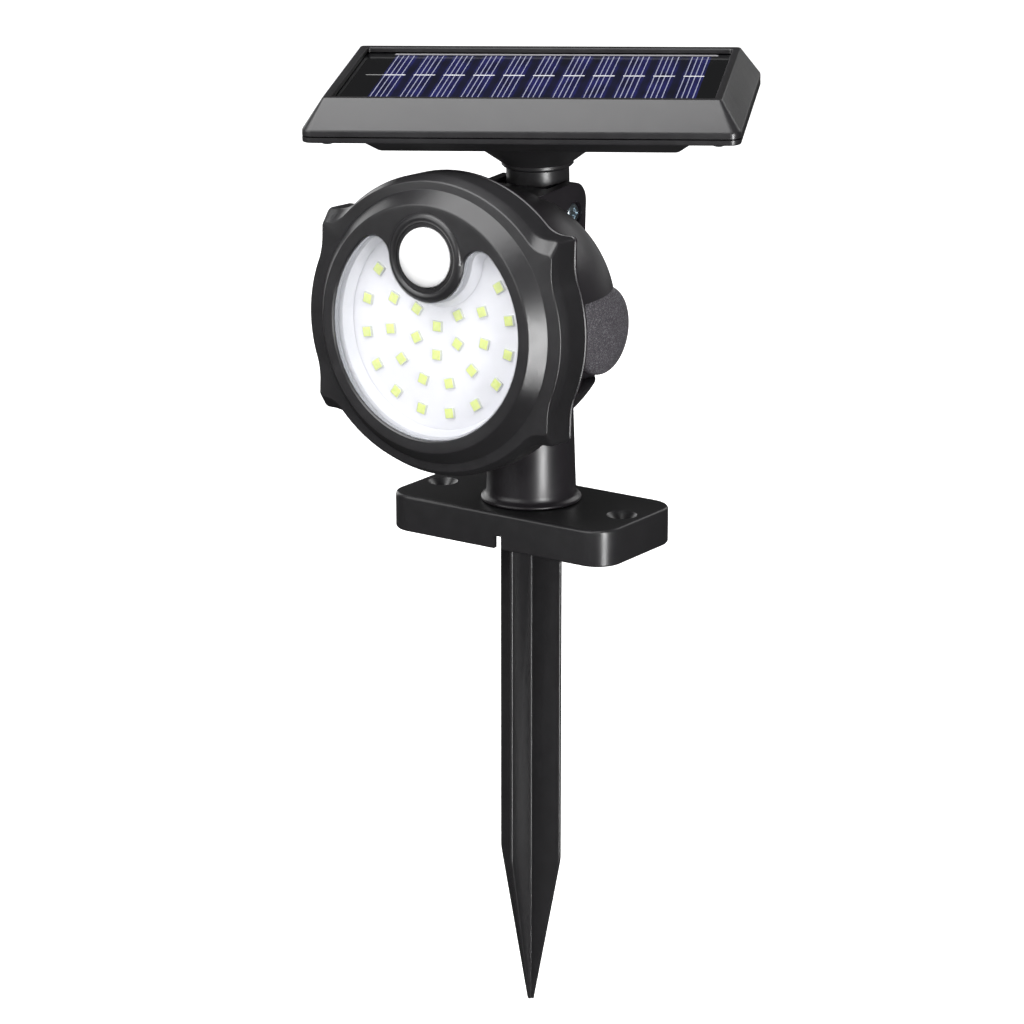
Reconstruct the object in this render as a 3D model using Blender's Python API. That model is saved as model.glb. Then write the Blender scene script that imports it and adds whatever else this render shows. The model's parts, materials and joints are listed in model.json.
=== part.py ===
"""Solar garden light: ground spike, wall plate and post, tilting lamp head, swivelling panel.

Units are metres and +Z is up. The origin is the centre of the base plate's underside, and the
lamp faces -Y. Each piece is one object, modelled in the frame of the body that it moves with:
the base, the lamp head (origin on its pivot), the neck (origin on the panel hinge) and the solar
panel (origin on the panel hinge too, turned about the neck).
"""

import math

import bmesh
import bpy
from mathutils import Matrix, Vector

# Clearances
GAP = 0.0003
BORE_CLEARANCE = 0.0003

# Overall sizes
PLATE_LENGTH = 0.088
PLATE_DEPTH = 0.044
PLATE_HEIGHT = 0.0123
SPIKE_LENGTH = 0.166
PIVOT_HEIGHT = 0.0733
LENS_RADIUS = 0.0357
PANEL_HALF_LENGTH = 0.0697
PANEL_HALF_WIDTH = 0.0462
PANEL_TOP = 0.0455

# Rest pose, in radians
HEAD_REST = math.radians(2.4)
NECK_REST = math.radians(2.2)
PANEL_REST = math.radians(27.6)

# Base plate
PLATE_CORNER = 0.009
PLATE_WALL = 0.0022
PLATE_EDGE = 0.0009
HOLE_OFFSET = 0.036
HOLE_RADIUS = 0.0027
COUNTERSINK_RADIUS = 0.0048
COUNTERSINK_DEPTH = 0.0022
HOLE_BOSS_RADIUS = 0.0062
NOTCH_WIDTH = 0.0035
NOTCH_HEIGHT = 0.0045
NOTCH_OFFSET = 0.0016

# Ground spike
FIN_REACH = 0.0121
FIN_HALF_THICKNESS = 0.00078
SPIKE_TAPER = 0.053
TIP_REACH = 0.0012
PLUG_RADIUS = 0.0073
PLUG_LENGTH = 0.0085
SOCKET_WALL = 0.0018

# Post
POST_FLARE_RADIUS = 0.0167
POST_FLARE_HEIGHT = 0.0026
POST_FOOT_RADIUS = 0.0149
POST_TOP_RADIUS = 0.0129
POST_WALL = 0.0036
POST_SCREW_OFFSET = 0.0127
POST_SCREW_RADIUS = 0.0012
POST_SCREW_HEAD = 0.0023
POST_SCREW_LENGTH = 0.0075
BARREL_RADIUS = 0.0126
BARREL_HALF = 0.0132

# Pivot of the lamp head
PIVOT_BOLT_RADIUS = 0.0025
PIVOT_HEAD_RADIUS = 0.0045
PIVOT_HEAD_THICKNESS = 0.003
PIVOT_WASHER_THICKNESS = 0.0006
PIVOT_WASHER_RADIUS = 0.0095
CHEEK = 0.0144
CHANNEL_RADIUS = 0.0146
CHANNEL_DOWN = math.radians(-20)
CHANNEL_UP = math.radians(50)
BOSS_RADIUS = 0.0149
BOSS_HALF = 0.026
CAP_RADIUS = 0.0147
CAP_RIM = 0.0018
CAP_CROWN = 0.0034
POCKET_HALF = 0.0153

# Lamp head: stations along Y, then radii about the lamp's axis
LAMP_RISE = 0.0058
FRONT_Y = -0.0606
LEDGE_Y = -0.0556
SHOULDER_Y = -0.0520
SEAM_Y = -0.0432
LIP_Y = -0.0415
DOME_END_Y = 0.0185
DOME_RADIUS = 0.0436
DOME_POWER = 2.3
RING_CREST = 0.0400
RING_BASE = 0.0441
HEAD_WALL = 0.0022
FRONT_WALL = 0.0024
LEDGE_HALVES = (0.0488, 0.0468)
LEDGE_LUG = (0.0446, 0.0288)
SHOULDER_HALVES = (0.0499, 0.0487)
SHOULDER_LUG = (0.0450, 0.0330)
LUG_SCREW = (0.0408, 0.0292)
LUG_SCREW_RADIUS = 0.0012
LUG_SCREW_HEAD = 0.0026
LUG_SCREW_LENGTH = 0.0088

# Window of the lamp, its lens and what lies behind it
NOTCH_RADIUS = 0.0148
SENSOR_RISE = 0.0233
HORN_RADIUS = 0.0058
LENS_PROUD = 0.0003
LENS_FLANGE = 0.0012
LENS_FLANGE_THICKNESS = 0.0012
LED_PLANE_Y = -0.0535
LED_SIZE = 0.0035
LED_HEIGHT = 0.0008
LED_BOARD_THICKNESS = 0.0016
LED_BOARD_RADIUS = 0.0412
LED_RINGS = ((0.0, 1, 0.0), (0.26, 5, 60.0), (0.52, 8, 32.0), (0.787, 12, 22.5))
REFLECTOR_WALL = 0.0009
REFLECTOR_SLOPE = 0.0022

# Motion sensor
DOME_LENS_RADIUS = 0.0096
DOME_LENS_RISE = 0.0046
DOME_LENS_WALL = 0.0008
DOME_LENS_FLANGE = 0.0112
SENSOR_RING_INNER = 0.0113
SENSOR_RING_OUTER = 0.0139
SENSOR_RING_RISE = 0.0011
SENSOR_CAN_RADIUS = 0.0046
SENSOR_CAN_HEIGHT = 0.0036

# Electronics
CONTROL_BOARD = (0.056, 0.0014, 0.034)
BATTERY_RADIUS = 0.0092
BATTERY_LENGTH = 0.065
BATTERY_Y = -0.0355
BATTERY_RISE = 0.004
HOLDER_WALL = 0.0013
CONTACT_THICKNESS = 0.0004

# Mode button on the back of the head
BUTTON_RISE = 0.0212
BUTTON_FACE_Y = 0.0186
BUTTON_RADIUS = 0.0035
BUTTON_FLANGE = 0.0047
BUTTON_PROUD = 0.0014
BUTTON_TRAVEL = 0.001
BUTTON_BOSS = 0.0066
BUTTON_WELL = 0.0052
BUTTON_WALL = 0.0024

# Panel hinge on top of the head
HINGE_Y = 0.0025
HINGE_RISE = 0.0363
EAR_INNER = 0.0109
EAR_OUTER = 0.0143
EAR_BACK = 0.0064
EAR_TOP = 0.0103
EAR_CORNER = 0.0070
EAR_SLOPE = 0.10
HINGE_BOLT_RADIUS = 0.002
HINGE_HEAD_RADIUS = 0.0034
HINGE_RECESS_RADIUS = 0.0041
HINGE_RECESS = 0.0018
HINGE_CHANNEL_RADIUS = 0.0115
HINGE_CHANNEL_BACK = math.radians(55)

# Neck of the panel
NECK_RADIUS = 0.0103
NECK_BARREL_RADIUS = 0.0098
NECK_SHOULDER = 0.0150
SPIGOT_RADIUS = 0.0072
SPIGOT_TOP = 0.0310
NECK_BORE = 0.0038
CLIP_RADIUS = 0.0095
CLIP_GROOVE = 0.0009
CLIP_THICKNESS = 0.001

# Solar panel: heights are down from the panel's top face
BEVEL_WIDTH = 0.0063
BEVEL_HEIGHT = 0.0094
RIM_WIDTH = 0.0025
RIM_THICKNESS = 0.0017
FRAME_HEIGHT = 0.0114
FRAME_CORNER = 0.0035
FRAME_WALL = 0.0022
TRAY_FLANGE_BOTTOM = 0.0134
TRAY_BOTTOM = 0.0208
TRAY_STEP = 0.0125
TRAY_CHAMFER = 0.009
TRAY_WALL = 0.002
PEDESTAL_TOP_RADIUS = 0.0235
PEDESTAL_RADIUS = 0.0118
LAMINATE_THICKNESS = 0.0016
LAMINATE_LAP = 0.001
SEAL_WIDTH = 0.0016
SEAL_HEIGHT = 0.0012
CORNER_BLOCK = 0.0068
PANEL_SCREW_RADIUS = 0.0012
PANEL_SCREW_HEAD = 0.0025
PANEL_SCREW_LENGTH = 0.0075

LARGE_ROUND = 44
ROUND = 32
SMALL_ROUND = 16
ARC = 5

AXIS_MATRIX = {
    "X": Matrix(((0, 0, 1), (1, 0, 0), (0, 1, 0))),
    "Y": Matrix(((1, 0, 0), (0, 0, 1), (0, 1, 0))),
    "Z": Matrix(((1, 0, 0), (0, 1, 0), (0, 0, 1))),
}


# ---------------------------------------------------------------- materials and objects
def material(name, colour, roughness, metallic=0.0):
    """A plain Principled finish."""
    made = bpy.data.materials.new(name)
    made.use_nodes = True
    shader = made.node_tree.nodes["Principled BSDF"]
    shader.inputs["Base Color"].default_value = (*colour, 1.0)
    shader.inputs["Roughness"].default_value = roughness
    shader.inputs["Metallic"].default_value = metallic
    return made


def add_object(name, shape, frame, finish=None):
    """Turns a bmesh into a named object in the given body's frame."""
    bmesh.ops.remove_doubles(shape, verts=shape.verts, dist=1e-7)
    bmesh.ops.recalc_face_normals(shape, faces=shape.faces)
    mesh = bpy.data.meshes.new(name)
    shape.to_mesh(mesh)
    shape.free()
    mesh.shade_smooth()
    mesh.set_sharp_from_angle(angle=math.radians(35))
    made = bpy.data.objects.new(name, mesh)
    bpy.context.collection.objects.link(made)
    made.parent = frame
    if finish:
        mesh.materials.append(finish)
    return made


def add_frame(name, location, turn=(0.0, 0.0, 0.0), parent=None):
    """An empty that carries one body's pieces."""
    made = bpy.data.objects.new(name, None)
    bpy.context.collection.objects.link(made)
    made.parent = parent
    made.location = location
    made.rotation_euler = turn
    return made


def boolean(target, operation, shape, frame):
    """Adds a live Boolean to target, with the shape as its hidden tool, which is returned."""
    tool = add_object(f"{target.name}_tool{len(target.modifiers)}", shape, frame)
    tool.hide_render = True
    tool.display_type = "WIRE"
    step = target.modifiers.new(operation.title(), "BOOLEAN")
    step.operation = operation
    step.solver = "EXACT"
    step.object = tool
    return tool


def cut(target, shape, frame=None):
    """Takes the shape out of the target."""
    return boolean(target, "DIFFERENCE", shape, frame)


def join(target, shape, frame=None):
    """Adds the shape to the target as one body."""
    return boolean(target, "UNION", shape, frame)


# ---------------------------------------------------------------- outlines, as (u, v) points
def arc(centre, radius, start, end, steps=ARC):
    """Points on a circle from one angle to another, in degrees, with both ends."""
    turn = math.radians(end - start) / steps
    first = math.radians(start)
    return [
        (
            centre[0] + radius * math.cos(first + turn * i),
            centre[1] + radius * math.sin(first + turn * i),
        )
        for i in range(steps + 1)
    ]


def circle(radius, steps=ROUND, centre=(0.0, 0.0)):
    """A closed circle."""
    return arc(centre, radius, 0, 360, steps)[:-1]


def rounded_rectangle(half_u, half_v, corner, steps=ARC):
    """A rectangle with round corners."""
    points = []
    for index, (side_u, side_v) in enumerate(((1, 1), (-1, 1), (-1, -1), (1, -1))):
        centre = (side_u * (half_u - corner), side_v * (half_v - corner))
        points += arc(centre, corner, 90 * index, 90 * index + 90, steps)
    return points


def plus_outline(reach, half_thickness):
    """A plus sign, with four arms of the same reach."""
    points = []
    for index in range(4):
        turn = math.radians(90 * index)
        for u, v in (
            (half_thickness, -half_thickness),
            (reach, -half_thickness),
            (reach, half_thickness),
        ):
            points.append(
                (
                    u * math.cos(turn) - v * math.sin(turn),
                    u * math.sin(turn) + v * math.cos(turn),
                )
            )
    return points


def bezier(start, middle, end, steps=3):
    """Inner points and both ends of a quadratic curve."""
    points = []
    for index in range(steps + 1):
        t = index / steps
        points.append(
            tuple(
                (1 - t) ** 2 * a + 2 * t * (1 - t) * b + t * t * c
                for a, b, c in zip(start, middle, end)
            )
        )
    return points


def lug_outline(halves, lug, inset=0.0, blend=0.0045, corner=0.0016):
    """An oval joined with a rectangle whose corners stand out as four screw lugs."""
    half_u, half_v = halves[0] - inset, halves[1] - inset
    lug_u, lug_v = lug[0] - inset, lug[1] - inset

    def on_oval(degrees):
        turn = math.radians(degrees)
        return (half_u * math.cos(turn), half_v * math.sin(turn))

    side_angle = math.degrees(math.acos(lug_u / half_u))
    top_angle = math.degrees(math.asin(lug_v / half_v))
    side = (lug_u, half_v * math.sin(math.radians(side_angle)))
    top = (half_u * math.cos(math.radians(top_angle)), lug_v)
    blend_angle = math.degrees(blend / half_u)
    low = side_angle - blend_angle
    high = top_angle + blend_angle
    quarter = [on_oval(low * i / 5) for i in range(5)]
    quarter += bezier(on_oval(low), side, (lug_u, min(side[1] + blend, lug_v - corner)))
    quarter += arc((lug_u - corner, lug_v - corner), corner, 0, 90, 3)
    quarter += bezier((min(top[0] + blend, lug_u - corner), lug_v), top, on_oval(high))
    quarter += [on_oval(high + (90 - high) * i / 5) for i in range(1, 5)]
    quarter.append((0.0, half_v))
    left = [(-u, v) for u, v in reversed(quarter[:-1])]
    upper = quarter + left
    lower = [(u, -v) for u, v in reversed(upper[1:-1])]
    return upper + lower


def window_outline(grow=0.0, steps=28):
    """The lamp's window: a disc less a round bite at the top, which leaves two round horns.

    A positive grow makes the window larger all round.
    """
    lens = LENS_RADIUS + grow
    bite = NOTCH_RADIUS - grow
    horn = HORN_RADIUS + grow
    to_lens = LENS_RADIUS - HORN_RADIUS
    to_bite = NOTCH_RADIUS + HORN_RADIUS
    horn_v = (to_lens**2 - to_bite**2 + SENSOR_RISE**2) / (2 * SENSOR_RISE)
    horn_u = math.sqrt(to_lens**2 - horn_v**2)
    lens_angle = math.degrees(math.atan2(horn_v, horn_u))
    bite_angle = math.degrees(math.atan2(horn_v - SENSOR_RISE, horn_u))
    points = arc((0, 0), lens, 180 - lens_angle, 360 + lens_angle, steps)
    points += arc((horn_u, horn_v), horn, lens_angle, 180 + bite_angle, ARC)[1:]
    points += arc((0, SENSOR_RISE), bite, bite_angle, -180 - bite_angle, ARC * 2)[1:]
    points += arc((-horn_u, horn_v), horn, -bite_angle, 180 - lens_angle, ARC)[1:-1]
    return points


# ---------------------------------------------------------------- solids, as bmeshes
def place(axis, u, v, along):
    """A point from outline coordinates: X reads (y, z), Y reads (x, z), Z reads (x, y)."""
    if axis == "X":
        return Vector((along, u, v))
    if axis == "Y":
        return Vector((u, along, v))
    return Vector((u, v, along))


def loft(rings):
    """A closed solid through rings of points, each ring with the same number of points."""
    shape = bmesh.new()
    loops = []
    for ring in rings:
        corners = [shape.verts.new(point) for point in ring]
        edges = [
            shape.edges.new((corners[i], corners[(i + 1) % len(corners)]))
            for i in range(len(corners))
        ]
        loops.append((corners, edges))
    for (_, first), (_, second) in zip(loops, loops[1:]):
        bmesh.ops.bridge_loops(shape, edges=first + second)
    for corners, _ in (loops[0], loops[-1]):
        shape.faces.new(corners)
    return shape


def stack(axis, *layers, rise=0.0):
    """A solid through (outline, position) layers along an axis, raised in v by rise."""
    return loft([[place(axis, u, v + rise, along) for u, v in ring] for ring, along in layers])


def prism(axis, outline, low, high, rise=0.0):
    """An outline extruded from low to high along an axis."""
    return stack(axis, (outline, low), (outline, high), rise=rise)


def turned(axis, profile, centre=(0.0, 0.0), steps=ROUND):
    """A solid turned from (radius, along) points, either closed or from axis to axis."""
    shape = bmesh.new()
    start = [shape.verts.new(place(axis, centre[0] + r, centre[1], a)) for r, a in profile]
    edges = [shape.edges.new(pair) for pair in zip(start, start[1:])]
    on_axis = profile[0][0] == 0 and profile[-1][0] == 0
    if not on_axis:
        edges.append(shape.edges.new((start[-1], start[0])))
    bmesh.ops.spin(
        shape,
        geom=start + edges,
        cent=place(axis, centre[0], centre[1], 0.0),
        axis=place(axis, 0.0, 0.0, 1.0),
        dvec=Vector(),
        angle=math.tau,
        steps=steps,
        use_merge=True,
        use_duplicate=False,
    )
    bmesh.ops.remove_doubles(shape, verts=shape.verts, dist=1e-7)
    return shape


def cylinder(axis, radius, low, high, centre=(0.0, 0.0), steps=SMALL_ROUND):
    """A round bar along an axis."""
    return prism(axis, circle(radius, steps, centre), low, high)


def box(low, high):
    """A box between two corners."""
    outline = [(low[0], low[1]), (high[0], low[1]), (high[0], high[1]), (low[0], high[1])]
    return prism("Z", outline, low[2], high[2])


def merged(*shapes):
    """Several separate solids in one bmesh, for use as one Boolean tool."""
    whole = bmesh.new()
    for shape in shapes:
        holder = bpy.data.meshes.new("part")
        shape.to_mesh(holder)
        shape.free()
        whole.from_mesh(holder)
        bpy.data.meshes.remove(holder)
    return whole


def pan_screw(head_radius, head_height, shank_radius, length, axis, base, direction, centre):
    """A pan-head screw: its head sits on base, and its shank runs on along the direction."""
    profile = [
        (0.0, base - direction * head_height),
        (head_radius * 0.75, base - direction * head_height),
        (head_radius, base - direction * head_height * 0.55),
        (head_radius, base),
        (shank_radius, base),
        (shank_radius, base + direction * (length - shank_radius)),
        (0.0, base + direction * length),
    ]
    return turned(axis, profile, centre, 12)


# ---------------------------------------------------------------- base
def build_base_plate(finish):
    """The hollow plate: countersunk wall holes, spike socket, drain notch, post screw holes."""

    def outline(inset):
        return rounded_rectangle(
            PLATE_LENGTH / 2 - inset, PLATE_DEPTH / 2 - inset, PLATE_CORNER - inset
        )

    roof = PLATE_HEIGHT - PLATE_WALL
    plate = add_object(
        "base_plate",
        stack(
            "Z",
            (outline(0), 0.0),
            (outline(0), PLATE_HEIGHT - PLATE_EDGE),
            (outline(PLATE_EDGE * 0.3), PLATE_HEIGHT - PLATE_EDGE * 0.3),
            (outline(PLATE_EDGE), PLATE_HEIGHT),
        ),
        None,
        finish,
    )
    below = -0.001
    socket_radius = PLUG_RADIUS + BORE_CLEARANCE
    cut(plate, prism("Z", outline(PLATE_WALL), below, roof))
    posts = [cylinder("Z", socket_radius + SOCKET_WALL, 0.0, roof + 0.0006, steps=26)]
    for side in (-1, 1):
        centre = (side * HOLE_OFFSET, 0.0)
        posts.append(cylinder("Z", HOLE_BOSS_RADIUS, 0.0, roof + 0.0006, centre))
    join(plate, merged(*posts))
    cut(plate, cylinder("Z", socket_radius, below, roof, steps=24))
    for side in (-1, 1):
        centre = (side * HOLE_OFFSET, 0.0)
        slope = (COUNTERSINK_RADIUS - HOLE_RADIUS) / COUNTERSINK_DEPTH
        profile = [
            (0.0, PLATE_HEIGHT + 0.001),
            (COUNTERSINK_RADIUS + 0.001 * slope, PLATE_HEIGHT + 0.001),
            (HOLE_RADIUS, PLATE_HEIGHT - COUNTERSINK_DEPTH),
            (HOLE_RADIUS, below),
            (0.0, below),
        ]
        cut(plate, turned("Z", profile, centre, 20))
        centre = (side * POST_SCREW_OFFSET, 0.0)
        cut(plate, cylinder("Z", POST_SCREW_RADIUS + GAP, below, 1.0, centre, 16))
    notch_low = (NOTCH_OFFSET - NOTCH_WIDTH / 2, -PLATE_DEPTH, below)
    notch_high = (NOTCH_OFFSET + NOTCH_WIDTH / 2, -PLATE_DEPTH / 2 + PLATE_WALL * 2, NOTCH_HEIGHT)
    cut(plate, box(notch_low, notch_high))
    return plate


def build_ground_spike(finish):
    """Four thin fins that taper to a point, under a round plug that fits the plate's socket."""
    body = plus_outline(FIN_REACH, FIN_HALF_THICKNESS)
    tip = plus_outline(TIP_REACH, FIN_HALF_THICKNESS * 0.6)
    spike = add_object(
        "ground_spike",
        stack("Z", (body, -GAP), (body, SPIKE_TAPER - SPIKE_LENGTH), (tip, -SPIKE_LENGTH)),
        None,
        finish,
    )
    join(spike, cylinder("Z", PLUG_RADIUS, -GAP - 0.004, PLUG_LENGTH, steps=24))
    return spike


def build_post(finish):
    """The tapered hollow post, with a flared foot below and a cross barrel on top."""
    foot = PLATE_HEIGHT + GAP
    profile = [
        (0.0, foot),
        (POST_FLARE_RADIUS, foot),
        (POST_FLARE_RADIUS, foot + 0.0006),
        (POST_FLARE_RADIUS - 0.0006, foot + 0.0011),
        (POST_FOOT_RADIUS + 0.0004, foot + 0.0018),
        (POST_FOOT_RADIUS, foot + POST_FLARE_HEIGHT),
        (POST_TOP_RADIUS, PIVOT_HEIGHT),
        (0.0, PIVOT_HEIGHT),
    ]
    post = add_object("post", turned("Z", profile), None, finish)
    barrel = cylinder("X", BARREL_RADIUS, -BARREL_HALF, BARREL_HALF, (0.0, PIVOT_HEIGHT), 32)
    join(post, barrel)
    bore_top = PIVOT_HEIGHT - BARREL_RADIUS
    bore = [
        (0.0, foot - 0.001),
        (POST_FOOT_RADIUS - POST_WALL, foot - 0.001),
        (POST_TOP_RADIUS - POST_WALL, bore_top),
        (0.0, bore_top),
    ]
    cut(post, turned("Z", bore, steps=24))
    bolt_bore = PIVOT_BOLT_RADIUS + BORE_CLEARANCE
    cut(post, cylinder("X", bolt_bore, -1.0, 1.0, (0.0, PIVOT_HEIGHT)))
    for side in (-1, 1):
        centre = (side * POST_SCREW_OFFSET, 0.0)
        top = foot + POST_SCREW_LENGTH
        cut(post, cylinder("Z", POST_SCREW_RADIUS + GAP, foot - 0.001, top, centre, 16))
    return post


def build_post_screws(finish):
    """Two screws up through the plate's roof into the foot of the post."""
    seat = PLATE_HEIGHT - PLATE_WALL - GAP
    for name, side in (("left", -1), ("right", 1)):
        centre = (side * POST_SCREW_OFFSET, 0.0)
        screw = pan_screw(
            POST_SCREW_HEAD, 0.0018, POST_SCREW_RADIUS, POST_SCREW_LENGTH, "Z", seat, 1, centre
        )
        add_object(f"post_screw_{name}", screw, None, finish)


# ---------------------------------------------------------------- lamp head
def build_front_bezel(frame, finish):
    """The front shell: four-lugged rim, raised ring, window and motion sensor opening."""
    shoulder = lug_outline(SHOULDER_HALVES, SHOULDER_LUG)
    bezel = add_object(
        "front_bezel",
        stack(
            "Y",
            (lug_outline(LEDGE_HALVES, LEDGE_LUG), LEDGE_Y),
            (shoulder, SHOULDER_Y),
            (shoulder, SEAM_Y),
            rise=LAMP_RISE,
        ),
        frame,
        finish,
    )
    inside = FRONT_Y + FRONT_WALL
    ledge_back = LEDGE_Y + FRONT_WALL
    axis = (0.0, LAMP_RISE)
    ring = [
        (0.0, FRONT_Y),
        (RING_CREST, FRONT_Y),
        (RING_BASE, LEDGE_Y),
        (RING_BASE, ledge_back),
        (0.0, ledge_back),
    ]
    join(bezel, turned("Y", ring, axis, LARGE_ROUND), frame)
    sensor = (0.0, LAMP_RISE + SENSOR_RISE)
    sensor_ring = [
        (SENSOR_RING_INNER, FRONT_Y + 0.001),
        (SENSOR_RING_INNER + 0.0004, FRONT_Y - SENSOR_RING_RISE * 0.8),
        ((SENSOR_RING_INNER + SENSOR_RING_OUTER) / 2, FRONT_Y - SENSOR_RING_RISE),
        (SENSOR_RING_OUTER - 0.0006, FRONT_Y - SENSOR_RING_RISE * 0.6),
        (SENSOR_RING_OUTER, FRONT_Y + 0.001),
    ]
    join(bezel, turned("Y", sensor_ring, sensor, 24), frame)
    wide = SHOULDER_HALVES[0] - HEAD_WALL
    hollow = [
        (0.0, inside),
        (RING_CREST - 0.0012, inside),
        (RING_BASE - HEAD_WALL, LEDGE_Y + 0.001),
        (RING_BASE - HEAD_WALL, ledge_back),
        (LEDGE_HALVES[1] - HEAD_WALL, ledge_back),
        (wide, SHOULDER_Y + 0.0012),
        (wide, SEAM_Y + 0.001),
        (0.0, SEAM_Y + 0.001),
    ]
    cut(bezel, turned("Y", hollow, axis, LARGE_ROUND), frame)
    cut(bezel, prism("Y", window_outline(GAP), FRONT_Y - 0.003, 0.5 * (inside + LEDGE_Y), LAMP_RISE), frame)
    opening = DOME_LENS_RADIUS + GAP
    cut(bezel, cylinder("Y", opening, FRONT_Y - 0.003, inside + 0.001, sensor, 32), frame)
    for u, v in lug_screw_places():
        hole_end = LIP_Y - LUG_SCREW_LENGTH
        cut(bezel, cylinder("Y", LUG_SCREW_RADIUS + GAP, hole_end, 0.0, (u, v), 12), frame)
    return bezel


def lug_screw_places():
    """The four housing screws, as (x, z) in the head's frame."""
    return [
        (side * LUG_SCREW[0], LAMP_RISE + up * LUG_SCREW[1]) for up in (1, -1) for side in (-1, 1)
    ]


def lens_back():
    """Where the lens flange ends behind the front wall."""
    return FRONT_Y + FRONT_WALL + GAP + LENS_FLANGE_THICKNESS


def build_lens_cover(frame, finish):
    """The clear window with its two horns, clipped in from behind by a flange."""
    seat = FRONT_Y + FRONT_WALL + GAP
    cover = add_object(
        "lens_cover",
        prism("Y", window_outline(LENS_FLANGE), seat, lens_back(), LAMP_RISE),
        frame,
        finish,
    )
    front = FRONT_Y + LENS_PROUD
    join(cover, prism("Y", window_outline(), front, seat + 0.0004, LAMP_RISE), frame)
    return cover


def build_reflector(frame, finish):
    """The white frame between the lens and the LED board, its inner wall sloped."""
    front = lens_back() + GAP
    back = LED_PLANE_Y + LED_HEIGHT - GAP
    outside = window_outline(REFLECTOR_WALL)
    reflector = add_object(
        "reflector", prism("Y", outside, front, back, LAMP_RISE), frame, finish
    )
    slope = stack(
        "Y",
        (window_outline(-REFLECTOR_WALL * 0.4), front - 0.001),
        (window_outline(-REFLECTOR_WALL * 0.6), front + 0.0004),
        (window_outline(-REFLECTOR_SLOPE), back + 0.0005),
        rise=LAMP_RISE,
    )
    cut(reflector, slope, frame)
    return reflector


def led_places():
    """Each LED as (x, z, turn): rings about the lamp's axis, open at the top.

    LED_RINGS gives each ring's share of the lens radius, its count and its spacing in degrees.
    """
    places = []
    for share, count, spacing in LED_RINGS:
        radius = LENS_RADIUS * share
        for index in range(count):
            turn = math.radians((index - (count - 1) / 2) * spacing)
            places.append((radius * math.sin(turn), -radius * math.cos(turn), turn))
    return places


def build_led_board(frame, finish):
    """The round LED board with its 26 LEDs soldered to the front."""
    front = LED_PLANE_Y + LED_HEIGHT
    outline = circle(LED_BOARD_RADIUS, LARGE_ROUND)
    board = add_object(
        "led_board",
        prism("Y", outline, front, front + LED_BOARD_THICKNESS, LAMP_RISE),
        frame,
        finish,
    )
    half = LED_SIZE / 2
    leds = []
    for x, z, turn in led_places():
        corners = [
            (
                x + u * math.cos(turn) - v * math.sin(turn),
                z + u * math.sin(turn) + v * math.cos(turn),
            )
            for u, v in ((half, -half), (half, half), (-half, half), (-half, -half))
        ]
        leds.append(prism("Y", corners, LED_PLANE_Y, front + 0.0004, LAMP_RISE))
    join(board, merged(*leds), frame)
    return board


def build_sensor_lens(frame, finish):
    """The white dome over the motion sensor, held by a flange behind the front wall."""
    seat = FRONT_Y + FRONT_WALL + GAP
    back = seat + 0.001
    inner = DOME_LENS_RADIUS - DOME_LENS_WALL
    profile = [(DOME_LENS_FLANGE, back), (DOME_LENS_FLANGE, seat), (DOME_LENS_RADIUS, seat)]
    steps = 5
    outer_dome = []
    inner_dome = []
    for index in range(steps + 1):
        turn = math.radians(90 * index / steps)
        outer_dome.append(
            (DOME_LENS_RADIUS * math.cos(turn), FRONT_Y - DOME_LENS_RISE * math.sin(turn))
        )
        inner_dome.append(
            (inner * math.cos(turn), FRONT_Y - (DOME_LENS_RISE - DOME_LENS_WALL) * math.sin(turn))
        )
    outer_dome[-1] = (0.0, outer_dome[-1][1])
    inner_dome[-1] = (0.0, inner_dome[-1][1])
    profile = inner_dome[::-1] + [(inner, back)] + profile + outer_dome
    return add_object(
        "sensor_lens",
        turned("Y", profile, (0.0, LAMP_RISE + SENSOR_RISE), 24),
        frame,
        finish,
    )


def build_motion_sensor(frame, finish):
    """The sensor's metal can on the LED board, under the white dome."""
    base = LED_PLANE_Y + LED_HEIGHT - GAP
    top = base - SENSOR_CAN_HEIGHT
    profile = [
        (0.0, top),
        (SENSOR_CAN_RADIUS - 0.0005, top),
        (SENSOR_CAN_RADIUS - 0.0005, base - 0.0006),
        (SENSOR_CAN_RADIUS, base - 0.0006),
        (SENSOR_CAN_RADIUS, base),
        (0.0, base),
    ]
    centre = (0.0, LAMP_RISE + SENSOR_RISE)
    return add_object("motion_sensor", turned("Y", profile, centre, 16), frame, finish)


def build_head_seal(frame, finish):
    """The ring seal between the front bezel and the rear shell."""
    outer = SHOULDER_HALVES[0] - HEAD_WALL - GAP
    profile = [
        (outer, SEAM_Y),
        (outer, SEAM_Y - 0.0018),
        (outer - 0.002, SEAM_Y - 0.0018),
        (outer - 0.002, SEAM_Y),
    ]
    return add_object(
        "head_seal", turned("Y", profile, (0.0, LAMP_RISE), LARGE_ROUND), frame, finish
    )


def dome_profile(inset=0.0, steps=9):
    """The dome's (radius, y) points from the lip back to its crown on the axis."""
    length = DOME_END_Y - LIP_Y - inset
    points = []
    for index in range(steps + 1):
        t = math.sin(math.radians(90 * index / steps))
        radius = (DOME_RADIUS - inset) * math.sqrt(max(0.0, 1 - t**DOME_POWER))
        points.append((radius, LIP_Y + length * t))
    points[-1] = (0.0, points[-1][1])
    return points


def channel_outline(radius, start, end, centre, reach=0.12):
    """A round bearing space at centre, open from it between two directions, in degrees.

    The directions turn from +y towards +z in the head's frame, and end is the larger.
    """
    points = arc(centre, radius, end + 90, start + 270, ARC * 2)
    for direction, side in ((start, -90), (end, 90)):
        along = math.radians(direction)
        across = math.radians(direction + side)
        points.append(
            (
                centre[0] + reach * math.cos(along) + radius * math.cos(across),
                centre[1] + reach * math.sin(along) + radius * math.sin(across),
            )
        )
    return points


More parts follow.
